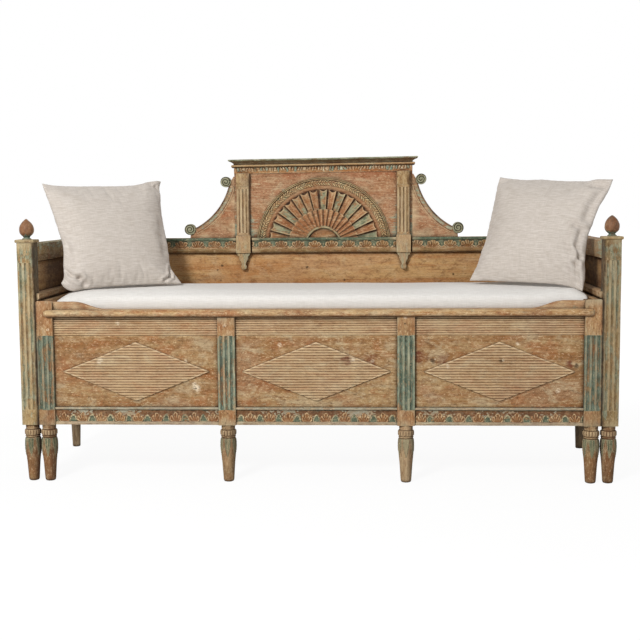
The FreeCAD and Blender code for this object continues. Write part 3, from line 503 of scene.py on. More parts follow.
front_wood = old_wood("worn_front_boards", "x", TAN, ORANGE, PINK, pale=0.55, scars=FRONT_SCARS)
roll_wood = old_wood("worn_roll", "x", (192, 164, 122), (172, 134, 88), PINK, pale=0.85, clouded=1.2)
reed_wood = old_wood("worn_reeds", "x", (168, 136, 96), (150, 112, 72), PINK, pale=0.5,
                     rub_and_highlight=(204, 178, 142), scars=REED_SCARS)
box_post_wood = old_wood("worn_box_posts", "z", (170, 138, 96), (152, 110, 68), PINK, paint=TEAL,
                         pale=0.5, rub_and_highlight=(168, 162, 134), scars=POST_SCARS)
frame_post_wood = old_wood("worn_frame_posts", "z", STRAW, OLIVE, (146, 132, 100), paint=GREY_GREEN,
                           hold=-0.3, pale=0.5, rub_and_highlight=(186, 168, 132), clouded=0.5)
pilaster_wood = old_wood("worn_pilasters", "z", (174, 146, 104), (150, 120, 78), (160, 134, 104),
                         paint=((112, 128, 104), (160, 154, 128)), pale=0.45, rub_and_highlight=(192, 172, 138),
                         clouded=0.6)
foot_wood = old_wood("worn_feet", "z", (140, 108, 70), (100, 68, 38), (126, 88, 56),
                     paint=((66, 84, 64), (118, 126, 98)), pale=0.45, clouded=0.5)
# Lit and shaded copies of the arm wood: the top and bottom rails of the left arm get a darker copy as painted
# shade, those of the right arm and both seat rails a lighter, lit copy
shaded_arm_wood = old_wood("worn_left_arm", "y", (134, 108, 64), (100, 76, 42), (124, 94, 54),
                    paint=GREY_GREEN, pale=0.4, clouded=0.6)
lit_arm_wood = old_wood("worn_right_arm", "y", (176, 142, 100), (140, 106, 70), (160, 128, 92),
                     paint=((120, 140, 118), (172, 176, 152)), hold=-0.25, pale=0.45, clouded=0.6)
arm_panel_wood = old_wood("worn_arm_panels", "y", (164, 128, 80), UMBER, (140, 104, 66), pale=0.2,
                          clouded=0.5)
back_wood = old_wood("worn_back_boards", "x", (186, 148, 98), (170, 120, 72), (180, 142, 100),
                     pale=0.3, dirt_and_shade=0.85, scars=KNOTS, clouded=0.45)
moulding_wood = old_wood("worn_mouldings", "x", (164, 136, 94), (142, 108, 70), OLIVE,
                         paint=((42, 68, 56), (88, 108, 88)), pale=0.4, clouded=0.6)
leaf_rail_wood = old_wood("worn_leaf_rail", "x", (154, 140, 118), (130, 114, 94), (146, 132, 116),
                          paint=((98, 112, 100), (150, 152, 138)), pale=0.5, clouded=0.4)
crest_wood = old_wood("worn_crest", "x", SALMON, BRICK, ROSE, paint=((110, 134, 116), (158, 160, 138)),
                      pale=0.55, clouded=0.9)
carved_wood = old_wood("worn_carving", "x", (158, 114, 74), (134, 86, 50), (160, 124, 88),
                       paint=((84, 102, 80), (142, 146, 118)), pale=0.45, rub_and_highlight=(204, 176, 134),
                       clouded=0.6)
leaf_wood = old_wood("worn_leaf_carving", "x", (168, 130, 82), (140, 96, 54), (148, 106, 68),
                     paint=((56, 78, 64), (96, 112, 92)), pale=0.35, rub_and_highlight=(212, 188, 148),
                     clouded=0.5)
laurel_wood = old_wood("worn_laurel", "x", (178, 148, 100), (152, 116, 74), (164, 122, 88),
                       paint=((98, 104, 76), (148, 148, 116)), pale=0.45, rub_and_highlight=(208, 184, 140),
                       clouded=0.5)
frieze_wood = old_wood("worn_crest_frieze", "x", (168, 118, 66), (150, 98, 54), (166, 130, 84),
                       paint=((98, 126, 112), (142, 152, 130)), pale=0.5, rub_and_highlight=(204, 192, 162),
                       clouded=0.5)
cornice_wood = old_wood("worn_cornice", "x", (118, 104, 72), (94, 78, 50), (130, 112, 78),
                        paint=GREY_GREEN, hold=-0.2, pale=0.3, rub_and_highlight=(160, 152, 122), clouded=0.5)
bead_wood = old_wood("worn_crest_bead", "x", (176, 138, 90), (150, 106, 64), (160, 132, 92),
                     paint=GREY_GREEN, pale=0.4, rub_and_highlight=(196, 170, 128), clouded=0.6)
finial_wood = old_wood("worn_finials", "z", (128, 86, 56), (88, 58, 38), (146, 104, 70), pale=0.15,
                       dirt_and_shade=0.6, gloss=0.28, clouded=0.4)
pine = old_wood("bare_pine_long", "x", (192, 160, 116), (172, 132, 88), (182, 146, 102), pale=0.1,
                dirt_and_shade=0.6, clouded=0.2)
pine_deep = old_wood("bare_pine_deep", "y", (192, 160, 116), (172, 132, 88), (182, 146, 102),
                     pale=0.1, dirt_and_shade=0.6, clouded=0.2)
# Painted shade: the rear feet are coloured nearly black
shaded_hind_wood = old_wood("worn_hind_feet", "z", (58, 38, 22), (38, 25, 15), (74, 50, 28), pale=0.05,
                     clouded=0.0)


# Turned feet with a collar of carved leaves

# Radius and height, from the floor up
FOOT = [
    (0, 0), (12, 0), (15, 1.2), (16.6, 4), (17.4, 9), (21, 64), (23.1, 84), (24.8, 106), (25.2, 118),
    (24.9, 130), (24, 139), (22.6, 143.4), (21.4, 145), (21.4, 146.4), (23.4, 147.2), (24.6, 149),
    (23.4, 150.8), (22.2, 151.6), (22.2, 152.8), (24.4, 153.6), (25.9, 155.2), (26.3, 158), (26.3, 165),
    (25.9, 168.4), (24.4, 170.2), (20.6, 171), (20.4, 172.4), (21.8, 173.6), (22, 180),
    (22.4, FOOT_TOP), (0, FOOT_TOP),
]
LEAF_TIP, LEAF_ROOT, COLLAR_LOW, COLLAR_HIGH = 84, 144, 155, 169
GROOVES = ((171.7, 1.4), (145.7, 1.6), (152.2, 1.2))   # dark lines round a foot, as height and half width


def foot(x, y):
    """A turned foot: a notched collar over a ring of hanging leaves."""
    profile = []
    for (radius, height), (next_radius, next_height) in zip(FOOT, FOOT[1:]):
        cuts = max(1, round((next_height - height) / 2.4)) if LEAF_TIP - 4 < next_height < LEAF_ROOT else 1
        profile += [(radius + (next_radius - radius) * cut / cuts,
                     height + (next_height - height) * cut / cuts) for cut in range(cuts)]
    form = turned(profile + [FOOT[-1]], 96)
    paint, tone, worn, grime = [form.verts.layers.float[layer] for layer in LAYERS]
    for vert in form.verts:
        z = vert.co.z
        around = math.atan2(vert.co.x, -vert.co.y) / (2 * math.pi)
        outward = Vector((vert.co.x, vert.co.y, 0)).normalized()
        vert[grime] = max(0, *(1 - abs(z - height) / half for height, half in GROOVES))
        if COLLAR_LOW < z < COLLAR_HIGH:
            notch = 1 - dome(2 * ((around * 16) % 1) - 1)
            vert.co -= outward * 2.2 * notch
            vert[grime], vert[worn] = max(vert[grime], 0.9 * notch), 0.6 * (1 - notch)
        for count, tip, lift, shift in ((6, LEAF_TIP, 1.6, 0.0), (6, LEAF_TIP + 18, 0.9, 0.5)):
            across = abs((around * count + shift + 0.5) % 1 - 0.5)
            rise = (z - tip) / (LEAF_ROOT - tip)
            width = 0.44 * max(0, rise) ** 0.6
            if not 0 < rise < 1 or across > width:
                continue
            inside = across / width
            rib = soft_step(1 - across / 0.06, 0, 1)
            veins = 0.5 + 0.5 * math.sin(1.1 * z - 26 * across)
            swell = lift * (0.5 + 0.5 * soft_step(inside, 0.3, 0.8)) * soft_step(1 - inside, 0, 0.14)
            vert.co += outward * (swell + 0.6 * rib + 0.35 * veins)
            vert[paint], vert[tone] = 0.8 if count == 6 and shift == 0 else 0.3, 0.0
            vert[worn] = max(0.55 * soft_step(inside, 0.6, 0.9), 0.5 * rib)
            vert[grime] = 0.5 * (1 - veins) + 0.7 * soft_step(inside, 0.88, 1.0)
            break
        # Painted shade: each foot grows darker towards its right side, away from the light
        side = outward.x * 0.8 + 0.2
        vert[grime] = max(vert[grime], 0.65 * soft_step(side, 0.25, 0.95))
    bmesh.ops.translate(form, verts=form.verts, vec=(x, y, 0))
    return form


def footed(name, x, y, body, rubbed=0.0):
    """Set a foot, rubbed more or less bare, under a post."""
    form = foot(x, y)
    deepen(form, "worn", lambda co: rubbed)
    finished(name, form, foot_wood, body, (), 0.4)


# Posts

def fluted_post(x, half, front, back, low, high, flutes, ease=2.2, dark=0.6):
    """An upright post with round bottomed flutes in its front.

    flutes is the width, depth, pitch, lower and upper end of the three flutes.
    """
    width, depth, pitch, flute_low, flute_high = flutes
    centres = [x - pitch, x, x + pitch]
    shares = (-0.5, -0.42, -0.26, 0.0, 0.26, 0.42, 0.5)
    face = [(centre + width * share, front) for centre in centres for share in shares]
    section = [(x - half, back), (x - half, front)] + face + [(x + half, front), (x + half, back)]
    ends = [flute_low - 3, flute_low, flute_low + 1, flute_low + 2.5, flute_low + 5]
    ends += [flute_high - 5, flute_high - 2.5, flute_high - 1, flute_high, flute_high + 3]
    form = drawn(rounded(section, ease), "z", stops(low, high, 36, *ends))
    worn, grime = form.verts.layers.float["worn"], form.verts.layers.float["grime"]
    for vert in form.verts:
        if abs(vert.co.y - front) > 0.01 or not flute_low < vert.co.z < flute_high:
            continue
        end = dome(1 - min(1, (vert.co.z - flute_low) / 5, (flute_high - vert.co.z) / 5))
        sunk = max(dome((vert.co.x - centre) / (width / 2)) for centre in centres)
        vert.co.y += depth * end * sunk
        patchy = min(1, max(0, 0.55 + 1.5 * uneven(x, vert.co.x / 7, vert.co.z / 55)))
        vert[grime] = dark * patchy * end * soft_step(sunk, 0.3, 0.95)
        vert[worn] = 0.6 * (1 - 0.6 * patchy) * end * (1 - soft_step(sunk, 0.0, 0.6))
    return form


def patch_of(middle, reach, full, low=0.0):
    """A rule for a layer: full near a height, and low away from it."""
    return lambda co: low + (full - low) * near_by(co.z, middle, reach * 0.4, reach)


BOX_FLUTES = (9.6, 4.4, 16.2, 238, 479)
# PAINTED_GAP_SHADE darkens the sides of the narrow gap between a frame post and a box post: painted shade
BOX_GREEN, PAINTED_GAP_SHADE = 0.54, 0.95


def green_part(co):
    """Where the paint holds on the fluted part of a box post, thinner here and there."""
    thin = 0.3 * uneven(co.x / 14, 3, co.z / 38) + 0.24 * uneven(co.x / 60, 8, co.z / 90)
    return (BOX_GREEN + thin) * soft_step(co.z, 235, 239) * (1 - soft_step(co.z, 478, 482))


def block_tone(co):
    """How red the bare blocks of a box post are."""
    share = 0.1 + 0.5 * uneven(co.x / 40, 1, co.z / 30)
    return max(0, share) * (1 if co.z > 500 or co.z < 238 else 0)


# Radius and height of the finials
EGG = [(0, 789.6), (14.6, 789.6), (14.8, 792), (13, 793.6), (10.4, 795.6), (10.2, 797.4), (13.2, 800.4),
       (17.6, 804.4), (21.2, 809.6), (23.1, 815.6), (23.5, 820.4), (23, 826), (21.6, 831.4), (19.2, 836.8),
       (15.8, 842.4), (11.6, 847.4), (7, 851.8), (3, 855), (0, 856)]

for side, sign in SIDES:
    x = sign * FRAME_POST
    post = fluted_post(x, 26.5, POST_FACE, -229, FOOT_TOP, 780, (7.6, 3.2, 15.4, 238, 716), dark=0.36)
    top_green = patch_of(746, 26, 0.5, 0.2)
    tint(post, paint=lambda co: max(top_green(co), 0.3 + 0.5 * uneven(co.x / 30, 6, co.z / 80)))
    # Painted shade on the side that faces the box post
    deepen(post, "grime", lambda co: PAINTED_GAP_SHADE if abs(co.x) < 910 else 0.26 * (sign > 0))
    finished(f"front_post_{side}_worn", post, frame_post_wood, BENCH, [f"front_post_{side}"])
    footed(f"front_foot_{side}_turned", x, -257, BENCH)
    cap = plank((x - 31.5, -290, 780), (x + 31.5, -224, 790), 4.4, 16)
    tint(cap, worn=lambda co: 0.5 * soft_step(co.z, 783, 789))
    egg = turned(EGG, 40, (x, -257, 0))
    tint(egg, paint=lambda co: 0.5 * (1 - soft_step(co.z, 800, 812)))
    weathered(egg, 0.8, 14)
    finished(f"finial_{side}_cap", cap, frame_post_wood, BENCH)
    finished(f"finial_{side}_egg", egg, finial_wood, BENCH, [f"finial_{side}"])

    # Rear posts on plain tapered feet
    stump = turned([(0, 0), (12.4, 0), (14.2, 2.2), (20, 186), (20, 189), (0, 189)], 28, (x, 273.5, 0))
    rear_post = plank((x - 26.5, 247, FOOT_TOP), (x + 26.5, 300, BACK_RAIL_TOP), 2.2)
    finished(f"rear_post_{side}_worn", rear_post, frame_post_wood, BENCH)
    finished(f"rear_foot_{side}_worn", stump, shaded_hind_wood, BENCH, [f"rear_post_{side}"])

    # Posts of the box
    x = sign * CORNER_POST
    post = fluted_post(x, 27.5, POST_FACE, BOX_POST_BACK, FOOT_TOP, 593, BOX_FLUTES)
    for vert in post.verts:
        drop = 8 * (1 - dome(max(0, (abs(vert.co.x - x) - 19.5) / 8)))
        vert.co.z = min(vert.co.z, 593 - drop)
    tint(post, paint=green_part, tone=lambda co: block_tone(co) + 0.3 * soft_step(co.z, 560, 580))
    # Painted shade on the side that faces the frame post
    deepen(post, "grime", lambda co: PAINTED_GAP_SHADE if abs(co.x) > 902.8 else 0.27 * (co.z < PANEL_TOP))
    finished(f"box_corner_post_{side}_worn", post, box_post_wood, BOX,
             [f"drawer_corner_post_{side}"])
    footed(f"box_corner_foot_{side}_turned", x, -260, BOX)
    x = sign * MID_POST
    post = fluted_post(x, 28, POST_FACE, BOX_POST_BACK, FOOT_TOP, FRIEZE_TOP, BOX_FLUTES)
    tint(post, paint=lambda co: green_part(co) + (0.22 if x > 0 and 240 < co.z < 478 else 0), tone=block_tone)
    finished(f"box_mid_post_{side}_worn", post, box_post_wood, BOX, [f"drawer_mid_post_{side}"])
    footed(f"box_mid_foot_{side}_turned", x, -260, BOX, 0.2 if x < 0 else 0.5)


# Arms

for side, sign, arm_wood, pillow_shadow_from in (("left", -1, shaded_arm_wood, -130), ("right", 1, lit_arm_wood, -95)):
    for board, finish, ease in (("arm_top_rail", arm_wood, 3.2), ("arm_panel", arm_panel_wood, 1.2),
                                ("side_panel", arm_panel_wood, 1.2), ("side_bottom_rail", arm_wood, 2.2)):
        low, high = corners(f"{board}_{side}")
        form = plank(low, high, ease, 30)
        if board == "arm_top_rail":
            tint(form, paint=lambda co: 0.4 * (1 - soft_step(co.y, -170, -60)) if sign > 0 else
                 0.5 * soft_step(co.z, 735, 760))
        # Painted shadow of the pillow: the inner face of the arm panel darkens towards the back
        if board == "arm_panel":
            tint(form, grime=lambda co: 0.72 * soft_step(co.y, pillow_shadow_from, pillow_shadow_from + 60 + 40 * (sign < 0))
                 * (abs(co.x) < abs(low.x + high.x) / 2))
        finished(f"{board}_{side}_worn", form, finish, BENCH, [f"{board}_{side}"])
    rail = [(919.5, 560), (947.5, 560), (947.5, 616), (900, 616), (897, 612), (898.4, 607), (897, 602),
            (899.6, 595), (919.5, 595)]
    length = drawn(rounded([(sign * across, up) for across, up in rail], 1.6), "y", stops(-229, 247, 40))
    forward = [(897, 612), (900, 616), (907, 616), (907, 595), (899.6, 595), (897, 602), (898.4, 607)]
    nose = drawn(rounded([(sign * across, up) for across, up in forward], 1.2), "y", stops(-265, -229, 12))
    finished(f"arm_seat_rail_{side}_worn", joined([length, nose]), lit_arm_wood, BENCH,
             [f"arm_seat_rail_{side}"])


# Back boards

for board in ("back_panel_upper", "back_panel_lower", "back_top_rail", "back_bottom_rail"):
    low, high = corners(board)
    finished(f"{board}_worn", plank(low, high, 1.4), back_wood, BENCH, [board])


# Carved bands. Each rule gives relief, paint, tone, wear, and grime with painted shade, for a place along and
# up the band.

LEAF_PITCH, STROKE_PITCH = 61, 10.4


def hashed(number, seed=0):
    """A share from 0 to 1 that belongs to a whole number."""
    return (math.sin(number * 12.9898 + seed * 78.233) * 43758.5453) % 1


def reach_of(across, up, half, tall):
    """0 at the root of a standing leaf, 1 on its edge and more outside it."""
    return (abs(across) / half) ** 1.8 + (max(up, 0) / tall) ** 2.2


def palmette(across, up, half, tall, petals=4):
    """Relief, wear and grime of a fan of petals with pale outlines, or none outside it."""
    reach = reach_of(across, up, half, tall)
    petal = 0.5 + 0.5 * math.cos(2 * petals * math.atan2(across / half, up / tall + 0.3))
    limit = 0.7 + 0.3 * petal
    if reach >= limit:
        return None
    tip = soft_step(reach, limit - 0.32, limit - 0.2) * (1 - soft_step(reach, limit - 0.05, limit))
    side = peak(petal, 0.36, 0.3, 0.6) * soft_step(reach, 0.1, 0.3)
    outline, inside = max(tip, side), soft_step(petal, 0.6, 0.9) * (1 - tip)
    return 0.35 + 0.5 * outline, 0.95 * outline, max(0.55 * inside, 0.9 * (1 - soft_step(petal, 0.02, 0.2)))


def dome_leaf(across, up, half, tall):
    """Relief, wear and grime of a smooth round leaf in a pale outline, or none outside it."""
    reach = reach_of(across, up, half, tall)
    if reach >= 1:
        return None
    outline = soft_step(reach, 0.5, 0.62) * (1 - soft_step(reach, 0.93, 1.0))
    return 0.5 + 0.4 * outline, 0.95 * outline, 0.4 * peak(reach, 0.45, 0.14)


def lunettes(along, up, tall):
    """Small green leaves in pale outlines, and orange palmettes between them, under a red brown ground."""
    cell = math.floor(along / LEAF_PITCH)
    place = along / LEAF_PITCH - cell - 0.5
    found = dome_leaf(abs(place) - 0.5, up, 0.2, 23 + 2 * hashed(cell))
    if found:
        return found[0], 1.15, 0.0, found[1], found[2]
    found = palmette(place, up + 1, 0.33, 31 + 3 * (hashed(cell, 3) - 0.5))
    if found:
        return found[0], 0.0, 0.35, found[1], found[2]
    # The ground is dark, and darker still just under the fillet as painted shade
    top = soft_step(up, tall - 5, tall - 2)
    return 0.1, 0.55 * top, 0.6 * (1 - top), 0.5 * hashed(int(along / 3), 4) * (1 - top), 0.72 + 0.2 * top


def darts(along, up, tall):
    """Tan palmettes that stand, with green darts hanging between them and a tan fillet below."""
    if up < 3.5:
        return 0.8, 0.1, 0.0, 0.45, 0.0
    cell = math.floor(along / LEAF_PITCH)
    place = along / LEAF_PITCH - cell - 0.5
    found = palmette(place, up - 3.5, 0.47, tall * (0.94 + 0.06 * hashed(cell, 1)), 5)
    if found:
        return found[0], 0.1, 0.0, 0.9 * found[1], found[2]
    beside = abs(abs(place) - 0.5)
    ridge = max(0, 1 - beside / (0.06 + 0.16 * (up / tall) ** 1.2))
    bright = soft_step(ridge, 0.62, 1) * (1 - soft_step(up / tall, 0.4, 0.85))
    return 0.4 + 0.45 * ridge, 1.1, 0.0, 0.8 * bright, 0.5 * (1 - soft_step(ridge, 0.1, 0.5))


def strokes(along, up, tall):
    """What is left of the leaves of the top frieze: short upright strokes, pale, green or bare."""
    shifted = along + 4.5 * uneven(along / 14, up / 16, 4)
    cell = math.floor(shifted / STROKE_PITCH)
    place, kind = 2 * (shifted / STROKE_PITCH - cell) - 1, hashed(cell, 6)
    foot_of = 3 + 5 * hashed(cell, 2)
    body = dome(place / 0.74) * soft_step(up, foot_of, foot_of + 5)
    return (0.3 + 0.6 * body, 0.85 * (kind < 0.34) * (body > 0.05), 0.25 * (1 - body), body * (kind > 0.25),
            0.85 * (1 - soft_step(body, 0.0, 0.5)) * soft_step(up, 6, 14))


def carved_strip(low_x, high_x, low_z, high_z, ground, depth, back, rule, fine=1.6):
    """A straight carved band that faces the front."""
    length, tall = high_x - low_x, high_z - low_z

    def shape(s, t):
        x, up = low_x + length * s, tall * t
        bent = 3.6 * uneven(x / 13, up / 13, low_z + 5)
        lift, paint, tone, worn, grime = rule(x + bent, up + 0.7 * bent, tall)
        lift *= 0.8 + 0.6 * uneven(x / 8, up / 7, low_z)
        patchy = 0.8 + 0.55 * uneven(x / 24, up / 24, low_z + 9)
        broken = patchy * min(1.2, max(0.1, 0.7 + 1.9 * uneven(x / 7, up / 6, low_z + 2)))
        return Vector((x, ground - depth * lift, low_z + up)), (paint * patchy, tone, worn * broken, grime)

    return relief(round(length / fine), round(tall / (fine * 0.75)), shape, back)


BAYS = [(-BAY_END, -316), (-260, 260), (316, BAY_END)]


def reeds(front, low, high, count, depth):
    """The face of a reeded board, as (y, z) points from the top down."""
    pitch = (high - low) / count
    return [(front + depth * (1 - dome(2 * share - 1)), high - (index + share) * pitch)
            for index in range(count) for share in (0.0, 0.1, 0.3, 0.5, 0.7, 0.9)] + [(front + depth, low)]


def mark_reeds(form, front, depth):
    """Pale on the rounds of the reeds, and dark and red between them."""
    tint(form, worn=lambda co: 0.62 * (1 - soft_step(co.y, front + 0.02, front + depth * 0.3)),
         grime=lambda co: (0.5 + 0.6 * uneven(co.x / 90, 2, co.z / 25))
         * soft_step(co.y, front + depth * 0.45, front + depth * 0.95) * (co.y < front + depth + 0.1),
         tone=lambda co: 0.5 * soft_step(co.y, front + depth * 0.3, front + depth * 0.8))


# The front of the box: leaf rail, panels, reeded frieze

rails, leaves, panels, friezes = [], [], [], []
LEAF_RAIL = [(BOX_BACK, FOOT_TOP), (-278, FOOT_TOP), (-278, 196), (-276, 198.6), (-274.4, 199), (-274.4, 237),
             (-279, 238), (-281, 239.6), (-281, 244), (-279, PANEL_LOW), (BOX_BACK, PANEL_LOW)]
FRIEZE_REED, DIAMOND_FACE, DIAMOND_REED = 2.2, -279, 2.6
for left, right in BAYS:
    rails.append(drawn(rounded(LEAF_RAIL, 1.1), "x", stops(left, right, 30)))
    leaves.append(carved_strip(left + 0.4, right - 0.4, 199, 237.6, -274.2, 3.2, -273.6, lunettes))
    panel = plank((left, BOX_FACE, PANEL_LOW), (right, BOX_BACK, PANEL_TOP), 0.8, 30)
    panels.append(sliced(panel, "z", stops(260, 465, 40)))
    section = [(BOX_BACK, PANEL_TOP), (BOX_BACK, FRIEZE_TOP)]
    section += reeds(BOX_FACE, PANEL_TOP, FRIEZE_TOP, 8, FRIEZE_REED)
    friezes.append(drawn(section, "x", stops(left, right, 25)))
rail = joined(rails)
# Painted shade in a line under the top fillet
tint(rail, paint=lambda co: 0.5 if co.z > 220 else 0.25, worn=0.25,
     grime=lambda co: 0.8 * near_by(co.z, 237.6, 0.6, 1.6))
finished("leaf_rail_worn", rail, leaf_rail_wood, BOX, ["leaf_rail"])
finished("leaf_rail_carving", joined(leaves), leaf_wood, BOX, unevenness=0.15)
finished("front_panel_worn", joined(panels), front_wood, BOX, ["front_panel"])
frieze = joined(friezes)
mark_reeds(frieze, BOX_FACE, FRIEZE_REED)
finished("reeded_rail_worn", frieze, reed_wood, BOX, ["reeded_rail"], 0.45, 60)

for name, x in (("left", -583.25), ("centre", 0), ("right", 583.25)):
    half, tall, middle = 239, 95, 362.5
    face = reeds(DIAMOND_FACE, middle - tall, middle + tall, 22, DIAMOND_REED)
    form = drawn([(-272.6, middle - tall), (-272.6, middle + tall)] + face, "x", stops(x - half, x + half, 24))
    for across, up in ((-1, -1), (1, -1), (1, 1), (-1, 1)):
        for inset in (4.2, 3.4, 0):
            drop = inset * math.hypot(tall, half) / tall
            cut_across(form, (x + across * (half - drop), 0, middle), (across * tall, 0, up * half), not inset)
    mark_reeds(form, DIAMOND_FACE, DIAMOND_REED)
    border, dirt_and_shade, redness = [form.verts.layers.float[layer] for layer in ("worn", "grime", "tone")]
    # A pale border, clear of grime and red, along the upper edges only: wear, and a painted highlight
    for vert in form.verts:
        inset = tall * half - abs(vert.co.x - x) * tall - abs(vert.co.z - middle) * half
        if inset < 3.6 * math.hypot(tall, half) and vert.co.y < -275 and vert.co.z > middle - 20:
            vert[border], vert[dirt_and_shade], vert[redness] = 1.3, 0.0, 0.0
    finished(f"diamond_{name}_worn", form, reed_wood, BOX, [f"diamond_{name}"], 0.35, 60)

# Top board with its ears, and the roll in front of it

ogee = [(683.5 + 102 * index / 10, 563.5 + 24.5 * soft_step(index / 10, 0, 1)) for index in range(11)]
edge_line = [(BAY_END, FRIEZE_TOP), (BAY_END, 588)] + ogee[::-1]
outline = edge_line + [(-x, z) for x, z in reversed(edge_line)]
board = drawn(outline, "y", [BOX_FACE, BOX_FACE + 1, -262, BOX_BACK - 1, BOX_BACK])
for vert in board.verts:
    if abs(vert.co.y + 262) > 10.5 and vert.co.z > 541:
        vert.co.z -= 1.1
sliced(board, "x", stops(-840, 840, 30))
tint(board, tone=lambda co: 0.45 * soft_step(abs(co.x), 640, 720))
finished("front_top_board_worn", board, front_wood, BOX, ["front_top_board"])

nose = [(-272.8, 540), (-272.8, 563.5), (-287, 563.5), (-292, 562.6), (-296.4, 559.8), (-299.2, 555.8),
        (-300, 551.6), (-299.2, 547.4), (-296.4, 543.8), (-292, 541), (-287, 540)]
NOSE_BACK, NOSE_MIDDLE = POST_FACE - 0.4, 551.75   # of the tips that run over the corner posts
tip_cuts = [sign * place for sign in (-1, 1) for place in (850.4, 850.6, 864, 869, 873, 876)]
form = drawn(nose, "x", stops(-CORNER_POST, CORNER_POST, 28, *tip_cuts))
for vert in form.verts:
    out = abs(vert.co.x)
    if out > BAY_END:
        vert.co.y = min(vert.co.y, NOSE_BACK)
        taper = dome(soft_step(out, 862, 879) * 0.97)
        vert.co.y = NOSE_BACK + (vert.co.y - NOSE_BACK) * taper
        vert.co.z = NOSE_MIDDLE + (vert.co.z - NOSE_MIDDLE) * (0.45 + 0.55 * taper)
# Painted shade: the underside of the roll is darkened and made redder
tint(form, grime=lambda co: 0.85 * (1 - soft_step(co.z, 541, 545.5)),
     tone=lambda co: 0.35 * (1 - soft_step(co.z, 545, 552)))
finished("roll_moulding_worn", form, roll_wood, BOX, ["roll_moulding"])


# Back moulding, with a shadow gap to the right of each pilaster, and the crest

GAP = 5.5
BACK_RAIL = [(BACK_FACE, 722), (BACK_FACE, BACK_RAIL_TOP), (239, BACK_RAIL_TOP), (237, 774), (237, 769),
             (239.4, 765.5), (244, 765), (244, 737.5), (240, 736.6), (238.2, 733), (239.6, 728), (243, 725),
             (245, 722)]
rails, bands = [], []
for left, right in ((-907, -316), (-264 + GAP, 264), (316 + GAP, 907)):
    rails.append(drawn(rounded(BACK_RAIL, 1.1), "x", stops(left, right, 30)))
    bands.append(carved_strip(left + 0.3, right - 0.3, 737, 765.4, 243.8, 5.0, 245, darts))
rail = joined(rails)
# Painted shade in a line under the top fillet and along the foot of the rail
tint(rail, paint=lambda co: 0.95 if co.z > 763 else 0.12,
     grime=lambda co: 0.6 * near_by(co.z, 765.2, 0.5, 2.0) + 0.7 * (co.z < 723.5))
finished("back_moulding_worn", rail, moulding_wood, BENCH,
         ["back_moulding_left", "back_moulding_centre", "back_moulding_right"])
finished("back_moulding_leaves", joined(bands), leaf_wood, BENCH, unevenness=0.15)


def settled(form):
    """The crest has sunk a little to the left over the years: the higher, the more."""
    for vert in form.verts:
        vert.co.z += max(0, vert.co.z - BACK_RAIL_TOP) / 285 * vert.co.x * 0.0105
    return form


BACK_CREST = 255.2   # how far back the flat rear of a carving on the crest lies
field = plank((-CREST_END, BACK_FACE, BACK_RAIL_TOP), (CREST_END, BACK_BEHIND, CREST_TOP), 1.2, 32)
sliced(field, "z", stops(800, 1010, 35, 992, 998))
tint(field, paint=lambda co: (0.3 * soft_step(math.hypot(co.x / 0.9, co.z - 745) / 300, 0.88, 1.0)
                              * (1 - soft_step(co.z, 830, 900)) + 0.14 - 0.3 * soft_step(co.z, 985, 1000))
     * (co.y < 270),
     tone=lambda co: 0.25 * soft_step(co.z, 940, 990) + 0.4 * soft_step(co.z, 990, 1000))
finished("crest_board_worn", settled(field), crest_wood, BENCH, ["crest_board"], 0.3)
strip = carved_strip(-CREST_END, CREST_END, 1010, CREST_TOP, 252.4, 5.0, BACK_CREST, strokes)
finished("crest_leaf_frieze_carved", settled(strip), frieze_wood, BENCH,
         ["crest_leaf_frieze"], 0.15)

BEAD_END, BEAD_MIDDLE = 331, 1038
bead = [(237, 1038.2), (237.6, 1036.2), (239.4, 1034.6), (243, 1034), (248, 1033.6), (248, CREST_TOP),
        (286, CREST_TOP), (286, 1042), (243, 1042), (239.4, 1041.8), (237.6, 1040.4)]
form = drawn(bead, "x", stops(-BEAD_END, BEAD_END, 30, -330, -328, 328, 330))
for vert in form.verts:
    end = max(0, abs(vert.co.x) - 326) / 5
    vert.co.z = BEAD_MIDDLE + (vert.co.z - BEAD_MIDDLE) * (0.35 + 0.65 * dome(end))
# Painted shade in the recess under the bead and in the joint under the cornice
tint(form, paint=0.2, worn=lambda co: 0.6 * near_by(co.z, 1038.4, 1, 3.2),
     grime=lambda co: max(0.95 * (1 - soft_step(co.z, 1033.2, 1035)), soft_step(co.z, 1041, 1041.9)))
finished("crest_bead_worn", settled(form), bead_wood, BENCH, ["crest_bead"])

# The cornice: (reach beyond the bead, height) from the foot of its hollow to the lip
CORNICE = [(-8, 1042), (-8, 1045), (-6.4, 1047.6), (-3, 1050.2), (2, 1052.6), (6.6, 1054.4), (9.2, 1055.6),
           (10, 1057), (10, 1059.6), (9, 1060.8), (7, 1061)]
form = blank()
rings = []
for reach, height in CORNICE:
    end, front = BEAD_END + reach, 236 - reach
    rings.append([form.verts.new((x, y, height))
                  for x, y in ((-end, 286), (-end, front), (end, front), (end, 286))])
for ring in rings:
    for one, two in zip(ring, ring[1:]):
        form.edges.new((one, two))
for lower, upper in zip(rings, rings[1:]):
    for index in range(3):
        form.faces.new((lower[index], lower[index + 1], upper[index + 1], upper[index]))
for ring in (rings[-1], rings[0]):
    form.faces.new(ring)
sliced(closed(form), "x", stops(-320, 320, 40, -2, 9))
for vert in form.verts:
    # A crack near the middle, slanting over the front
    if abs(vert.co.x - 3.5) < 6 and vert.co.y < 238:
        vert.co.x += 0.35 * (vert.co.z - 1051)
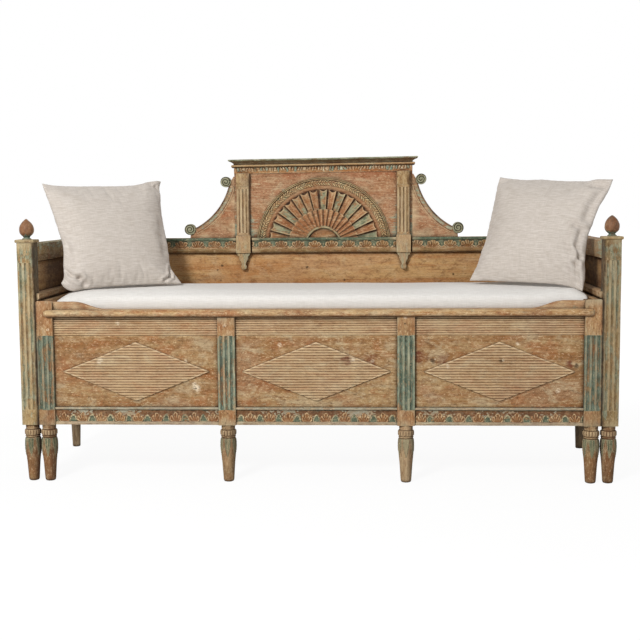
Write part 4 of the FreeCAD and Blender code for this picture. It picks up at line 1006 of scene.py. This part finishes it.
# Painted shade at the foot of the hollow, under the lip
tint(form, grime=lambda co: 0.95 * (1 - soft_step(co.z, 1043.5, 1048.5)),
     worn=lambda co: 0.35 * soft_step(co.z, 1057.5, 1060), paint=lambda co: 0.5 * soft_step(co.z, 1053, 1057),
     tone=lambda co: 0.12 * (1 - soft_step(co.z, 1051, 1055)))
finished("crest_cornice_worn", settled(form), cornice_wood, BENCH, ["crest_cornice"], 0.7)


# Pilasters with their blocks and pendants

# Half width and drop of a pendant, as shares of 26 and 60 mm
PENDANT = [(0.84, 0.0), (0.86, 0.06), (0.84, 0.12), (0.7, 0.165), (0.6, 0.21), (0.6, 0.34), (0.5, 0.42),
           (0.4, 0.5), (0.3, 0.6), (0.27, 0.7), (0.34, 0.76), (0.4, 0.83), (0.36, 0.92), (0.2, 0.98)]
for side, sign in SIDES:
    x = sign * PILASTER
    shaft = fluted_post(x, 23, 239, BACK_CREST, 784, 964, (5.6, 2.6, 12.6, 793, 955), 1.4, dark=0.7)
    base = plank((x - 26, 233, 721), (x + 26, BACK_CREST, 785), 1.6, 20)
    cap = plank((x - 24.4, 236.5, 963), (x + 24.4, BACK_CREST, 1011), 2.6, 20)
    outline = [(x + 26 * half, 721 - 60 * drop) for half, drop in PENDANT] + [(x, 661)]
    outline += [(x - 26 * half, 721 - 60 * drop) for half, drop in reversed(PENDANT)]
    pendant = drawn(outline, "y", [240.4, BACK_CREST])
    face = [item for item in pendant.faces if item.calc_center_median().y < 241]
    bmesh.ops.inset_region(pendant, faces=face, thickness=1.8, depth=0)
    bmesh.ops.translate(pendant, verts=list({vert for item in face for vert in item.verts}), vec=(0, -1.4, 0))
    tint(base, worn=0.3)
    form = joined([shaft, base, cap, pendant])
    tint(form, paint=lambda co: 0.45 if co.z < 721 else 0.3 if co.z < 786 else 0.14)
    # Painted shadow down the right side of each pilaster above its base
    deepen(form, "grime", lambda co: 0.8 * (co.x > x + 21.6 and co.z > 786))
    finished(f"pilaster_{side}_worn", settled(form), pilaster_wood, BENCH, [f"pilaster_{side}"])


# Scroll brackets

ARC_CENTRE, ARC_RADIUS, ARC_LOW, ARC_HIGH = (577.1, 1029.7), 243, math.radians(243.6), math.radians(194.3)


def volute(x, z, radius, sign, start):
    """A rolled scroll: a disc with a spiral groove in each face."""
    rings = [radius * index / 30 for index in range(31)]
    profile = [(ring, 0.0) for ring in rings[:-2]] + [(radius - 1, 0.0), (radius - 0.3, 0.5), (radius, 1.2)]
    profile += [(radius, 26.8), (radius - 0.3, 27.5), (radius - 1, 28.0)]
    profile += [(ring, 28.0) for ring in reversed(rings[:-2])]
    form = turned(profile, 72, (0, 0, 0), "y")
    middle = sum(vert.co.y for vert in form.verts) / len(form.verts)
    worn, grime = form.verts.layers.float["worn"], form.verts.layers.float["grime"]
    for vert in form.verts:
        out = math.hypot(vert.co.x, vert.co.z)
        turn = math.atan2(vert.co.z, vert.co.x * sign) / (2 * math.pi)
        phase = (out / (radius / 2.4) + turn + start) % 1
        sunk = peak(phase, 0.5, 0.27) * (1 - soft_step(out, radius * 0.93, radius))
        if out < radius * 0.17 or abs(abs(vert.co.y - middle) - 14) > 1:
            sunk = 0.0
        vert.co.y += 3.6 * sunk if vert.co.y < middle else -3.6 * sunk
        vert[grime], vert[worn] = 0.95 * sunk, 0.6 * (1 - sunk)
    lift = -min(vert.co.y for vert in form.verts)
    bmesh.ops.translate(form, verts=form.verts, vec=(x, 249 + lift, z))
    tint(form, paint=0.5)
    return form


def arc_point(share, out=0):
    """A place on the hollow edge of the right bracket, or some way out from it."""
    turn, radius = ARC_LOW + (ARC_HIGH - ARC_LOW) * share, ARC_RADIUS + out
    return ARC_CENTRE[0] + radius * math.cos(turn), ARC_CENTRE[1] + radius * math.sin(turn)


for side, sign in SIDES:
    outline = [(CREST_END, BACK_RAIL_TOP), (486, BACK_RAIL_TOP), (484, 800)]
    outline += [arc_point(index / 24) for index in range(25)] + [(334, 985), (325, 1000), (CREST_END, 1000)]
    web = drawn([(sign * x, z) for x, z in outline], "y", [BACK_FACE, BACK_BEHIND])
    ends = (CREST_END, 484) if sign > 0 else (-484, -CREST_END)
    sliced(sliced(web, "x", stops(*ends, 28)[1:-1]), "z", stops(800, 970, 28))

    def hollow_band(s, t):
        """The moulded band that follows the hollow edge."""
        out = 27 * t
        roll = 3.6 * dome(min(1, abs(out - 3) / 3.4))
        second = 2.2 * dome(min(1, abs(out - 21) / 2.6))
        lift = max(roll, second, 0.9 * (1 - soft_step(out, 24, 27)))
        x, z = arc_point(s, out + 0.2)
        worn = 0.5 * soft_step(second / 2.2, 0.75, 1.0)
        # Dark in the incised line, and painted shade along the hollow edge
        grime = max(0.8 * peak(out, 17.4, 2.4), 0.97 * (1 - soft_step(out, 3.5, 6.5)))
        green = 0.16 + 0.32 * soft_step(out, 4, 7) * (1 - soft_step(out, 13, 18))
        return Vector((sign * x, BACK_FACE - lift, z)), (green, 0.0, worn, grime)

    band = cut_across(relief(60, 20, hollow_band, 255.4), (sign * (CREST_END + 0.2), 0, 0), (-sign, 0, 0), True)
    # Painted shade on the web along its hollow edge
    tint(web, tone=lambda co: max(0, 0.32 + 0.5 * noise.noise(co / 40)), paint=0.1, grime=lambda co: 0.95
         * (math.hypot(abs(co.x) - ARC_CENTRE[0], co.z - ARC_CENTRE[1]) < ARC_RADIUS + 3))
    scrolls = [volute(sign * 486, 808, 20, sign, 0.35), volute(sign * 353, 981, 19, sign, 0.1)]
    finished(f"scroll_bracket_{side}_field", settled(joined([web, band])), crest_wood, BENCH,
             [f"scroll_bracket_{side}"], 0.3)
    finished(f"scroll_bracket_{side}_volutes", settled(joined(scrolls)), cornice_wood, BENCH,
             (), 0.3)


# The sunburst

FAN = Vector((0, BACK_FACE, 750))


def fan_point(radius, turn, lift):
    return FAN + Vector((radius * math.cos(turn), -lift, radius * math.sin(turn)))


def cut_at_rail(form):
    """Keep what stands above the rail of the back."""
    return cut_across(form, (0, 0, BACK_RAIL_TOP - 0.2), (0, 0, -1), True)


# How green and how red each blade is, from the right round to the left
BLADES = [(0.8, 0.0), (0.05, 0.9), (0.62, 0.0), (0.1, 0.9), (0.5, 0.1), (0.1, 0.8), (0.4, 0.3), (0.05, 0.9),
          (0.55, 0.2), (0.15, 0.8), (0.1, 0.3), (0.35, 0.2), (0.05, 0.5), (0.4, 0.2), (0.1, 0.7), (0.6, 0.0),
          (0.2, 0.2)]
blades = []
for index, (paint, tone) in enumerate(BLADES):
    from_turn, to_turn = (6.1, 14.3) if index > 8 else (5.9, 13.9)
    low_turn, high_turn = math.radians(10 * index + from_turn), math.radians(10 * index + to_turn)

    def blade(s, t):
        """A hollow blade, raised along its lower side and cut to a crescent at its tip."""
        across = s if index < 9 else 1 - s
        dip = 3.5 + 6.5 * hashed(index, 5)
        radius = 127 + (73 - dip * (1 - (2 * s - 1) ** 2)) * t
        turn = low_turn + (high_turn - low_turn) * s
        lift = 1.6 + 6.6 * (1 - across) ** 1.2 - 2.0 * math.sin(math.pi * across) + 1.4 * t * t
        streak = soft_step(uneven(s * 5 + index * 3, t * 1.6, index), 0.08, 0.4)
        # Pale on the raised edge, wear with a painted highlight; painted shadow along the low edge, under the
        # next blade's raised edge, and darker near the root
        worn = max(0.9 * soft_step(t, 0.9, 1.0), 0.75 * (1 - soft_step(across, 0.03, 0.16)), 0.55 * streak)
        grime = 0.95 * soft_step(across, 0.84, 0.98) + 0.3 * (1 - soft_step(t, 0.0, 0.2))
        faded = 0.9 + 0.5 * uneven(s * 2, t * 2.4, index * 7)
        return (fan_point(radius, turn, max(0.6, lift)),
                (1.3 * paint * faded, 0.6 * tone * (1.6 - faded), worn, min(1, grime)))

    blades.append(cut_at_rail(relief(12, 18, blade, 254)))


def ground(s, t):
    """Dark between the blades, and a red brown ring beyond their tips."""
    radius = 118 + 97 * t
    return (fan_point(radius, math.radians(2 + 176 * s), 0.5),
            (0.0, 0.5, 0.25 * soft_step(radius, 202, 207), 0.97 * (1 - soft_step(radius, 198, 204)) + 0.2))


blades.append(cut_at_rail(relief(120, 30, ground, BACK_CREST)))
finished("sunburst_outer_blades", joined(blades), carved_wood, BENCH,
         ["sunburst_outer_petals"], 0.25, 30)

ribs = []
for index in range(18):
    middle = math.radians(9.4 * index + 10.1)
    crisp = 1 - 0.75 * soft_step(index, 9, 13)

    def rib(s, t):
        """A narrow rib of the inner fan; those on the left are nearly worn away."""
        side = 2 * s - 1
        radius = 66 + (62 - 5 * (1 - dome(0.96 * side))) * t
        lift = 3.4 + 3.8 * crisp * dome(0.97 * side) * (0.7 + 0.3 * t) + 2.6 * (1 - crisp)
        worn = 0.6 * soft_step(t, 0.93, 1.0) + 0.6 * crisp * peak(side, -0.2, 0.3)
        grime = (0.25 + 0.7 * crisp) * soft_step(abs(side), 0.5, 0.92)
        return (fan_point(radius, middle + math.radians(4.5) * side, lift),
                (0.0, 0.1 + 0.35 * crisp, worn, grime))

    ribs.append(cut_at_rail(relief(12, 12, rib, BACK_CREST)))
finished("sunburst_inner_ribs", joined(ribs), carved_wood, BENCH,
         ["sunburst_inner_petals"], 0.2, 30)


def half_ring(profile, steps):
    """A moulding bent round the sunburst: (radius, lift) points turned about its centre."""
    return cut_at_rail(turned([(radius, -lift) for radius, lift in profile], steps, FAN, "y"))


def from_hub(co):
    return math.hypot(co.x, co.z - FAN.z)


hub = half_ring([(0, 6), (20, 5.4), (36, 4), (48, 2), (53, 1.2), (57, 1.2), (58.4, 4.4), (59.4, 8.4),
                 (61, 10.6), (63, 11.4), (65.2, 10.8), (66.8, 8.6), (67.4, 4), (67.4, 0), (0, 0)], 96)
tint(hub, paint=lambda co: 0.6 if from_hub(co) > 57.5 else 0.05,
     worn=lambda co: 0.7 * near_by(from_hub(co), 63, 1, 3) + 0.5 * (from_hub(co) < 34),
     grime=lambda co: 0.95 * near_by(from_hub(co), 55.5, 1.5, 3.5))
finished("sunburst_hub_worn", hub, carved_wood, BENCH, ["sunburst_hub"], 0.25)

rim = half_ring([(233.6, 0), (233.6, 3.4), (234.4, 4), (235.2, 8.2), (236.4, 9), (237.8, 8), (238.4, 4.4),
                 (239.2, 4.4), (239.8, 7.4), (241, 8), (242.2, 7), (242.8, 4), (243, 0), (233.6, 0)], 128)
tint(rim, paint=0.3, worn=0.25,
     grime=lambda co: 0.8 * max(near_by(from_hub(co), 238.8, 0.5, 1.5), near_by(from_hub(co), 234, 0.5, 1.5),
                                soft_step(from_hub(co), 241.6, 242.8)))


LAUREL_ROW, LAUREL_PITCH = 10.5, 9.4


def laurel(s, t):
    """The ring of small worn leaves, in two ragged rows."""
    turn = math.radians(3 + 174 * s)
    along, out = turn * 224, 21 * t
    stray = 4.5 * uneven(along / 13, out / 10, 3)
    row = min(1, int(max(0, out + 0.6 * stray) / LAUREL_ROW))
    slant = along + stray + (out - LAUREL_ROW * row) * (0.8 if row else -0.8) + LAUREL_PITCH / 2 * row
    cell = math.floor(slant / LAUREL_PITCH)
    across = 2 * (slant / LAUREL_PITCH - cell) - 1
    side = 2 * (out + 0.6 * stray - LAUREL_ROW * row) / LAUREL_ROW - 1
    leafy = dome(across / 0.92) * dome(side / 1.08) * (0.45 + 0.65 * hashed(cell, row + 5))
    tip = soft_step(leafy, 0.4, 0.8)
    return (fan_point(213 + 21 * t, turn, 1.2 + 5.0 * leafy),
            (0.42 * hashed(cell, row + 9), 0.3 * hashed(cell, row + 2), tip * hashed(cell, row + 4) ** 0.4,
             0.55 * (1 - soft_step(leafy, 0.08, 0.4))))


leaves = cut_at_rail(relief(480, 18, laurel, BACK_CREST))
finished("arch_rim_worn", joined([rim, leaves]), laurel_wood, BENCH, ["arch_rim"], 0.25)


# Inside of the box, the lid and the slats

INSIDE = [
    ("front_stretcher", BENCH, pine), ("fixed_slats", BENCH, pine_deep), ("back_lid_cleat", BENCH, pine),
    ("drawer_side_left", BOX, pine_deep), ("drawer_side_right", BOX, pine_deep),
    ("drawer_lid_cleats", BOX, pine), ("drawer_ledge", BOX, pine), ("drawer_slats", BOX, pine_deep),
    ("seat_lid_front", LID, pine), ("seat_lid_back", LID, pine),
]


def blocks_of(node):
    """The box of each separate solid of a CAD node, also where two of them touch along an edge."""
    form = bmesh.new()
    form.from_mesh(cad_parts[node].data)
    bmesh.ops.remove_doubles(form, verts=form.verts, dist=1e-5)
    todo, blocks = set(form.faces), []
    while todo:
        beside, group = [todo.pop()], []
        while beside:
            face = beside.pop()
            group += [vert.co / MM for vert in face.verts]
            for item in face.edges:
                for other in item.link_faces if len(item.link_faces) == 2 else ():
                    if other in todo:
                        todo.remove(other)
                        beside.append(other)
        blocks.append([Vector([pick(spot[index] for spot in group) for index in range(3)])
                       for pick in (min, max)])
    form.free()
    return sorted(blocks, key=lambda block: (block[0].x, block[0].y))


for node, body, finish in INSIDE:
    form = joined([plank(low, high, 1.2, 60) for low, high in blocks_of(node)])
    finished(f"{node}_sawn", form, finish, body, [node], 0.3)


# Linen

def linen(name, light, dark, slub, bump_depth):
    """A plain weave with slubs, on the cloth's own map."""
    light, dark = shade(light), shade(dark)
    cloth = Finish(bpy.data.materials.new(name))
    cloth.place = cloth.node("ShaderNodeTexCoord", {}, {}).outputs["UV"]
    level = cloth.noise((30, 440, 1), 4, 0.62, 0.3)
    upright = cloth.noise((440, 30, 1), 4, 0.62, 0.3, (5, 2, 0))
    thick = cloth.noise((10, 170, 1), 3, 0.55, 0.2, (2, 8, 0))
    clouds = cloth.noise((5, 5, 1), 3, 0.5, 0.0, (4, 4, 0))
    weave = level * 0.72 + upright * 0.28
    colour = cloth.mix(weave.between(0.36, 0.64), dark, light)
    colour = cloth.mix(thick.between(0.53, 0.68) * slub, colour, dark)
    colour = cloth.mix((1 - thick).between(0.56, 0.7) * slub, colour, light)
    colour = cloth.mix(clouds.between(0.35, 0.65) * 0.14, colour, dark)
    # Greyer where the grime layer says: painted shade on the front of the seat cushion
    colour = cloth.mix(cloth.layer("grime"), colour, shade((176, 168, 158)))
    return cloth.done(colour, 0.88 + weave * 0.1, weave + thick * 0.5, bump_depth, 0.15)


pillow_linen = linen("pillow_linen", (207, 199, 191), (181, 171, 160), 0.55, 0.0006)
seat_linen = linen("seat_linen", (233, 231, 227), (214, 211, 206), 0.35, 0.0004)


def swollen(thing, pressure, cap, frames, stiffness=15, bending=0.5, slack=0.0, pinned=""):
    """Blow a closed cloth form up under its own stiffness, and cap how far each point may go."""
    start = [vert.co.copy() for vert in thing.data.vertices]
    cloth = thing.modifiers.new("swell", "CLOTH")
    cloth.settings.use_pressure = True
    cloth.settings.uniform_pressure_force = pressure
    cloth.settings.effector_weights.gravity = 0
    cloth.settings.tension_stiffness = stiffness
    cloth.settings.compression_stiffness = stiffness
    cloth.settings.bending_stiffness = bending
    cloth.settings.shrink_min = -slack
    cloth.settings.vertex_group_mass = pinned
    cloth.point_cache.frame_start, cloth.point_cache.frame_end = 1, frames
    scene = bpy.context.scene
    for step in range(1, frames + 1):
        scene.frame_set(step)
        bpy.context.view_layer.update()
    shaped = thing.evaluated_get(bpy.context.evaluated_depsgraph_get()).to_mesh()
    moved = [vert.co.copy() for vert in shaped.vertices]
    thing.evaluated_get(bpy.context.evaluated_depsgraph_get()).to_mesh_clear()
    thing.modifiers.remove(cloth)
    scene.frame_set(1)
    for vert, old, new in zip(thing.data.vertices, start, moved):
        way = new - old
        vert.co = old + way * (cap * math.tanh(way.length / cap) / max(way.length, 1e-9))


def remade(thing, kind, **settings):
    """Replace the mesh of a thing by what a modifier makes of it."""
    change = thing.modifiers.new("change", kind)
    for field, value in settings.items():
        setattr(change, field, value)
    mesh = bpy.data.meshes.new_from_object(thing.evaluated_get(bpy.context.evaluated_depsgraph_get()))
    thing.modifiers.clear()
    thing.data = mesh


# The seat cushion

low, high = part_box("seat_cushion")
form = bmesh.new()
form.from_mesh(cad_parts["seat_cushion"].data)
bmesh.ops.remove_doubles(form, verts=form.verts, dist=1e-5)
middle = (low + high) / 2
for vert in form.verts:
    vert.co.x = middle.x + (vert.co.x - middle.x) * 0.999
    vert.co.y = middle.y + (vert.co.y - middle.y) * 0.976
mesh = bpy.data.meshes.new("seat_cushion_linen")
form.to_mesh(mesh)
form.free()
seat = placed("seat_cushion_linen", mesh, seat_linen, "seat_cushion_body", ["seat_cushion"])
remade(seat, "REMESH", mode="VOXEL", voxel_size=0.009)
swollen(seat, pressure=5, cap=0.011, frames=16)
form = bmesh.new()
form.from_mesh(seat.data)
for turn in range(3):
    bmesh.ops.smooth_vert(form, verts=form.verts, factor=0.5, use_axis_x=True, use_axis_y=True,
                          use_axis_z=True)
weave, front_shade = form.loops.layers.uv.new("weave"), form.verts.layers.float.new("grime")
for vert in form.verts:
    # Fuller towards its ends, and lifted and drawn out at its right end
    vert.co.z += 0.006 * soft_step(vert.co.z, middle.z, high.z) * soft_step(abs(vert.co.x), 0.5, 0.86)
    upper = soft_step(vert.co.z, low.z + 0.008, low.z + 0.028)
    vert.co.z += 0.013 * upper * soft_step(vert.co.x, 0.7, 0.86)
    vert.co.x += 0.016 * upper * soft_step(vert.co.x, 0.8, 0.88)
    # Painted shade: the front of the cushion is made a little greyer
    vert[front_shade] = 0.12 * (1 - soft_step(vert.co.y, low.y + 0.02, low.y + 0.14))
    vert.co.z = min(max(vert.co.z, low.z + 0.0001), high.z + 0.006)
    vert.co.z += 0.0012 * noise.noise(vert.co * 7) * soft_step(vert.co.z, low.z + 0.01, high.z - 0.01)
    vert.co.x = min(high.x, max(low.x, vert.co.x))
    vert.co.y = min(high.y, max(low.y, vert.co.y))
for face in form.faces:
    face.smooth = True
    for loop in face.loops:
        loop[weave].uv = (loop.vert.co.x, loop.vert.co.y + loop.vert.co.z)
form.to_mesh(seat.data)
seat_surface = BVHTree.FromBMesh(form)
form.free()
seat.data.materials.clear()
seat.data.materials.append(seat_linen)


# The scatter cushions. Each is two squares of linen, sewn together along four seams. These are the
# points that each seam of a cover runs through, in millimetres.

COVER = (0.216, 0.206)   # half the width and half the height of a cover

SEAMS = {
    "left": {
        "foot": [(-847, -190, 644), (-834, -189, 626), (-812, -178, 615), (-783, -160, 618), (-731, -125, 622),
                 (-667, -80, 624), (-583, -20, 624), (-481, 48, 622)],
        "head": [(-935, -75, 975), (-905, -53, 969), (-842, -10, 966), (-772, 38, 967), (-712, 76, 967),
                 (-658, 110, 970), (-610, 140, 980), (-580, 158, 985), (-570, 165, 981)],
        "left": [(-847, -190, 644), (-839, -182, 660), (-845, -160, 712), (-850, -142, 768), (-863, -130, 801),
                 (-900, -100, 894), (-935, -75, 975)],
        "right": [(-481, 48, 622), (-512, 58, 659), (-525, 64, 681), (-532, 80, 723), (-544, 102, 779),
                  (-562, 128, 855), (-572, 152, 924), (-576, 161, 959), (-570, 165, 981)],
    },
    "right": {
        "foot": [(509, 45, 629), (553, 20, 630), (605, -10, 629), (673, -50, 628), (773, -110, 626),
                 (823, -150, 620), (858, -190, 607)],
        "head": [(624, 163, 988), (648, 147, 983), (707, 110, 977), (763, 72, 977), (811, 38, 972),
                 (890, -15, 969), (931, -46, 972), (973, -75, 973)],
        "left": [(509, 45, 629), (537, 64, 680), (546, 74, 706), (554, 82, 728), (566, 92, 758),
                 (578, 108, 802), (603, 140, 903), (617, 156, 960), (624, 163, 988)],
        "right": [(858, -190, 607), (868, -178, 663), (870, -164, 704), (876, -148, 745), (885, -132, 793),
                  (898, -122, 820), (921, -104, 876), (948, -90, 922), (963, -82, 950), (973, -75, 973)],
    },
}
# Folds in the front of each: start and end as shares from the middle, width and depth in millimetres
FOLDS = {
    "left": [
        ((-0.99, -0.72), (-0.74, -0.79), 12, 11), ((-0.74, -0.79), (-0.6, -0.95), 11, 9),
        ((-0.93, -0.25), (-0.9, -0.6), 26, 7),
        ((0.7, -0.93), (0.84, -0.84), 8, 10), ((0.84, -0.84), (0.95, -0.66), 8, 10),
        ((0.88, 0.1), (0.86, -0.4), 30, 4), ((0.9, 0.86), (0.97, 0.78), 9, 6),
    ],
    "right": [
        ((0.78, 0.84), (0.96, 0.83), 24, 12), ((0.92, 0.66), (0.9, 0.2), 22, 8),
        ((0.78, 0.02), (0.97, 0.0), 15, 9), ((0.9, -0.04), (0.86, -0.3), 16, 9),
        ((0.86, -0.3), (0.93, -0.46), 13, 9), ((0.93, -0.46), (0.84, -0.62), 13, 10),
        ((0.84, -0.62), (0.88, -0.88), 15, 9), ((0.7, -0.34), (0.78, -0.52), 22, 6),
    ],
}


def seam_place(points, share):
    """The place at a share of the length of a smooth line through some points."""
    spots = [Vector(point) for point in points]
    lengths = [(two - one).length for one, two in zip(spots, spots[1:])]
    left, index = share * sum(lengths), 0
    while index < len(lengths) - 1 and left > lengths[index]:
        left -= lengths[index]
        index += 1
    part = min(1, left / lengths[index])
    one, two = spots[index], spots[index + 1]
    before, after = spots[max(0, index - 1)], spots[min(len(lengths), index + 2)]
    leave = (two - before).normalized() * lengths[index]
    arrive = (after - one).normalized() * lengths[index]
    square, cube = part * part, part ** 3
    return (one * (2 * cube - 3 * square + 1) + leave * (cube - 2 * square + part)
            + two * (3 * square - 2 * cube) + arrive * (cube - square))


def cushion_cover(side):
    """Fill a cover, let it crease, and rest it on the seat."""
    count, puff, seams = 60, 0.046, SEAMS[side]
    lines = {name: [seam_place(points, index / count) * MM for index in range(count + 1)]
             for name, points in seams.items()}
    feet, heads, lefts, rights = (lines[name] for name in ("foot", "head", "left", "right"))
    out = (feet[-1] - feet[0]).cross(heads[0] - feet[0]).normalized()
    form = bmesh.new()
    weave = form.verts.layers.float_vector.new("plan")
    for facing in (-1, 1):
        for vert in bmesh.ops.create_grid(form, x_segments=count, y_segments=count, size=1)["verts"]:
            s, t = vert.co.x, vert.co.y
            across, up = (s + 1) / 2, (t + 1) / 2
            place, height = round(across * count), round(up * count)
            level = heads[place] * up + feet[place] * (1 - up)
            upright = rights[height] * across + lefts[height] * (1 - across)
            plain = ((heads[-1] * up + feet[-1] * (1 - up)) * across
                     + (heads[0] * up + feet[0] * (1 - up)) * (1 - across))
            full = ((1 - abs(s) ** 2.4) * (1 - abs(t) ** 2.4)) ** 0.5
            vert.co = level + upright - plain + out * facing * puff * full
            vert[weave] = (COVER[0] * s, COVER[1] * t, 0)
    bmesh.ops.remove_doubles(form, verts=form.verts, dist=1e-5)
    bmesh.ops.recalc_face_normals(form, faces=form.faces)
    if form.calc_volume(signed=True) < 0:
        bmesh.ops.reverse_faces(form, faces=form.faces)
    sewn = [index for index, vert in enumerate(form.verts)
            if abs(vert[weave].x) > COVER[0] - 0.0001 or abs(vert[weave].y) > COVER[1] - 0.0001]
    name = f"pillow_{side}_linen"
    mesh = bpy.data.meshes.new(name)
    form.to_mesh(mesh)
    form.free()
    thing = placed(name, mesh, pillow_linen, f"pillow_{side}_body", [f"pillow_{side}"])
    thing.vertex_groups.new(name="sewn").add(sewn, 1.0, "REPLACE")
    swollen(thing, pressure=4, cap=0.03, frames=26, stiffness=14, bending=0.3, slack=0.022,
            pinned="sewn")
    thing.vertex_groups.clear()
    remade(thing, "SUBSURF", levels=1)
    form = bmesh.new()
    form.from_mesh(thing.data)
    plan, weave = form.verts.layers.float_vector["plan"], form.loops.layers.uv.new("weave")
    form.normal_update()
    for vert in form.verts:
        sink = 0.0
        for start, end, width, depth in FOLDS[side]:
            ends = [Vector((s * COVER[0], t * COVER[1])) / MM for s, t in (start, end)]
            share = intersect_point_line(vert[plan].xy / MM, *ends)[1]
            near = ends[0].lerp(ends[1], min(1, max(0, share)))
            gap = (vert[plan].xy / MM - near).length / width
            sink += depth * soft_step(1 - gap, 0, 1) - 0.3 * depth * peak(gap, 1.5, 1)
        seam = max(abs(vert[plan].x) / COVER[0], abs(vert[plan].y) / COVER[1])
        if vert.normal.dot(out) > 0:
            firm = soft_step(vert.normal.dot(out), 0, 0.4) * (1 - soft_step(seam, 0.93, 1))
            vert.co -= vert.normal * sink * MM * firm
        hit = seat_surface.ray_cast(Vector((vert.co.x, vert.co.y, 1)), Vector((0, 0, -1)))[0]
        if hit:
            vert.co.z = max(vert.co.z, hit.z + 0.0008)
    for face in form.faces:
        face.smooth = True
        for loop in face.loops:
            loop[weave].uv = loop.vert[plan].xy
    form.to_mesh(thing.data)
    form.free()
    thing.data.materials.clear()
    thing.data.materials.append(pillow_linen)


for side, sign in SIDES:
    cushion_cover(side)


# Floor, light and camera

floor_form = bmesh.new()
bmesh.ops.create_grid(floor_form, x_segments=1, y_segments=1, size=30)
floor_mesh = bpy.data.meshes.new("studio_floor")
floor_form.to_mesh(floor_mesh)
floor_form.free()
floor = bpy.data.objects.new("studio_floor", floor_mesh)
bpy.context.scene.collection.objects.link(floor)

# The floor and the backdrop look white to the camera, and light the bench at a plain level
FLOOR_GREY, FLOOR_GLOW, GLOW_SHARE, SKY = 0.62, 1.06, 0.88, 0.35
studio = Finish(bpy.data.materials.new("studio_floor"))
diffuse = studio.node("ShaderNodeBsdfDiffuse", {}, {"Color": (FLOOR_GREY, FLOOR_GREY, FLOOR_GREY, 1)})
glow = studio.node("ShaderNodeEmission", {}, {"Color": (1, 1, 1, 1), "Strength": FLOOR_GLOW})
away = studio.node("ShaderNodeVectorMath", {"operation": "LENGTH"}, {0: studio.place}).outputs["Value"]
share = studio.seen_plainly() * (GLOW_SHARE + (1 - GLOW_SHARE) * Signal(studio, away).between(1.3, 3.2))
both = studio.node("ShaderNodeMixShader", {}, {0: share, 1: diffuse.outputs[0], 2: glow.outputs[0]})
studio.node("ShaderNodeOutputMaterial", {}, {"Surface": both.outputs[0]})
floor_mesh.materials.append(studio.owner)

world = bpy.data.worlds.new("studio")
bpy.context.scene.world = world
backdrop = Finish(world)
soft = backdrop.node("ShaderNodeBackground", {}, {"Color": (1, 0.99, 0.98, 1), "Strength": SKY})
white = backdrop.node("ShaderNodeBackground", {}, {"Color": (1, 1, 1, 1), "Strength": 1.0})
blend = backdrop.node("ShaderNodeMixShader", {}, {
    0: backdrop.seen_plainly(), 1: soft.outputs[0], 2: white.outputs[0]})
backdrop.node("ShaderNodeOutputWorld", {}, {"Surface": blend.outputs[0]})


def lamp(name, spot, size, power, aim=(0, 0, 0.5)):
    data = bpy.data.lights.new(name, "AREA")
    data.shape, data.size, data.energy = "DISK", size, power
    light = bpy.data.objects.new(name, data)
    light.location = spot
    light.rotation_mode = "QUATERNION"
    light.rotation_quaternion = (Vector(aim) - Vector(spot)).to_track_quat("-Z", "Y")
    bpy.context.scene.collection.objects.link(light)


lamp("key", (-1.7, -4.0, 2.9), 1.0, 188)
lamp("fill", (3.0, -3.6, 1.6), 2.6, 28)
lamp("back_fill", (0.5, 3.6, 2.6), 3.0, 60)

CAMERA_PLACE, YAW, PITCH, ROLL = (0.2097, -3.9408, 0.9006), -0.0534, -0.101, -0.0074
ahead = Vector((math.sin(YAW) * math.cos(PITCH), math.cos(YAW) * math.cos(PITCH), math.sin(PITCH)))
right = Vector((math.cos(YAW), -math.sin(YAW), 0))
above = right.cross(ahead)
right_rolled = math.cos(ROLL) * right + math.sin(ROLL) * above
above_rolled = -math.sin(ROLL) * right + math.cos(ROLL) * above
camera_data = bpy.data.cameras.new("camera")
camera_data.lens, camera_data.sensor_width = 65.0, 36.0
camera_data.clip_start, camera_data.clip_end = 0.05, 100
camera = bpy.data.objects.new("camera", camera_data)
turn = Matrix((right_rolled, above_rolled, -ahead)).transposed()
camera.matrix_world = Matrix.Translation(CAMERA_PLACE) @ turn.to_4x4()
bpy.context.scene.collection.objects.link(camera)
bpy.context.scene.camera = camera
bpy.context.scene.view_settings.view_transform = "Standard"
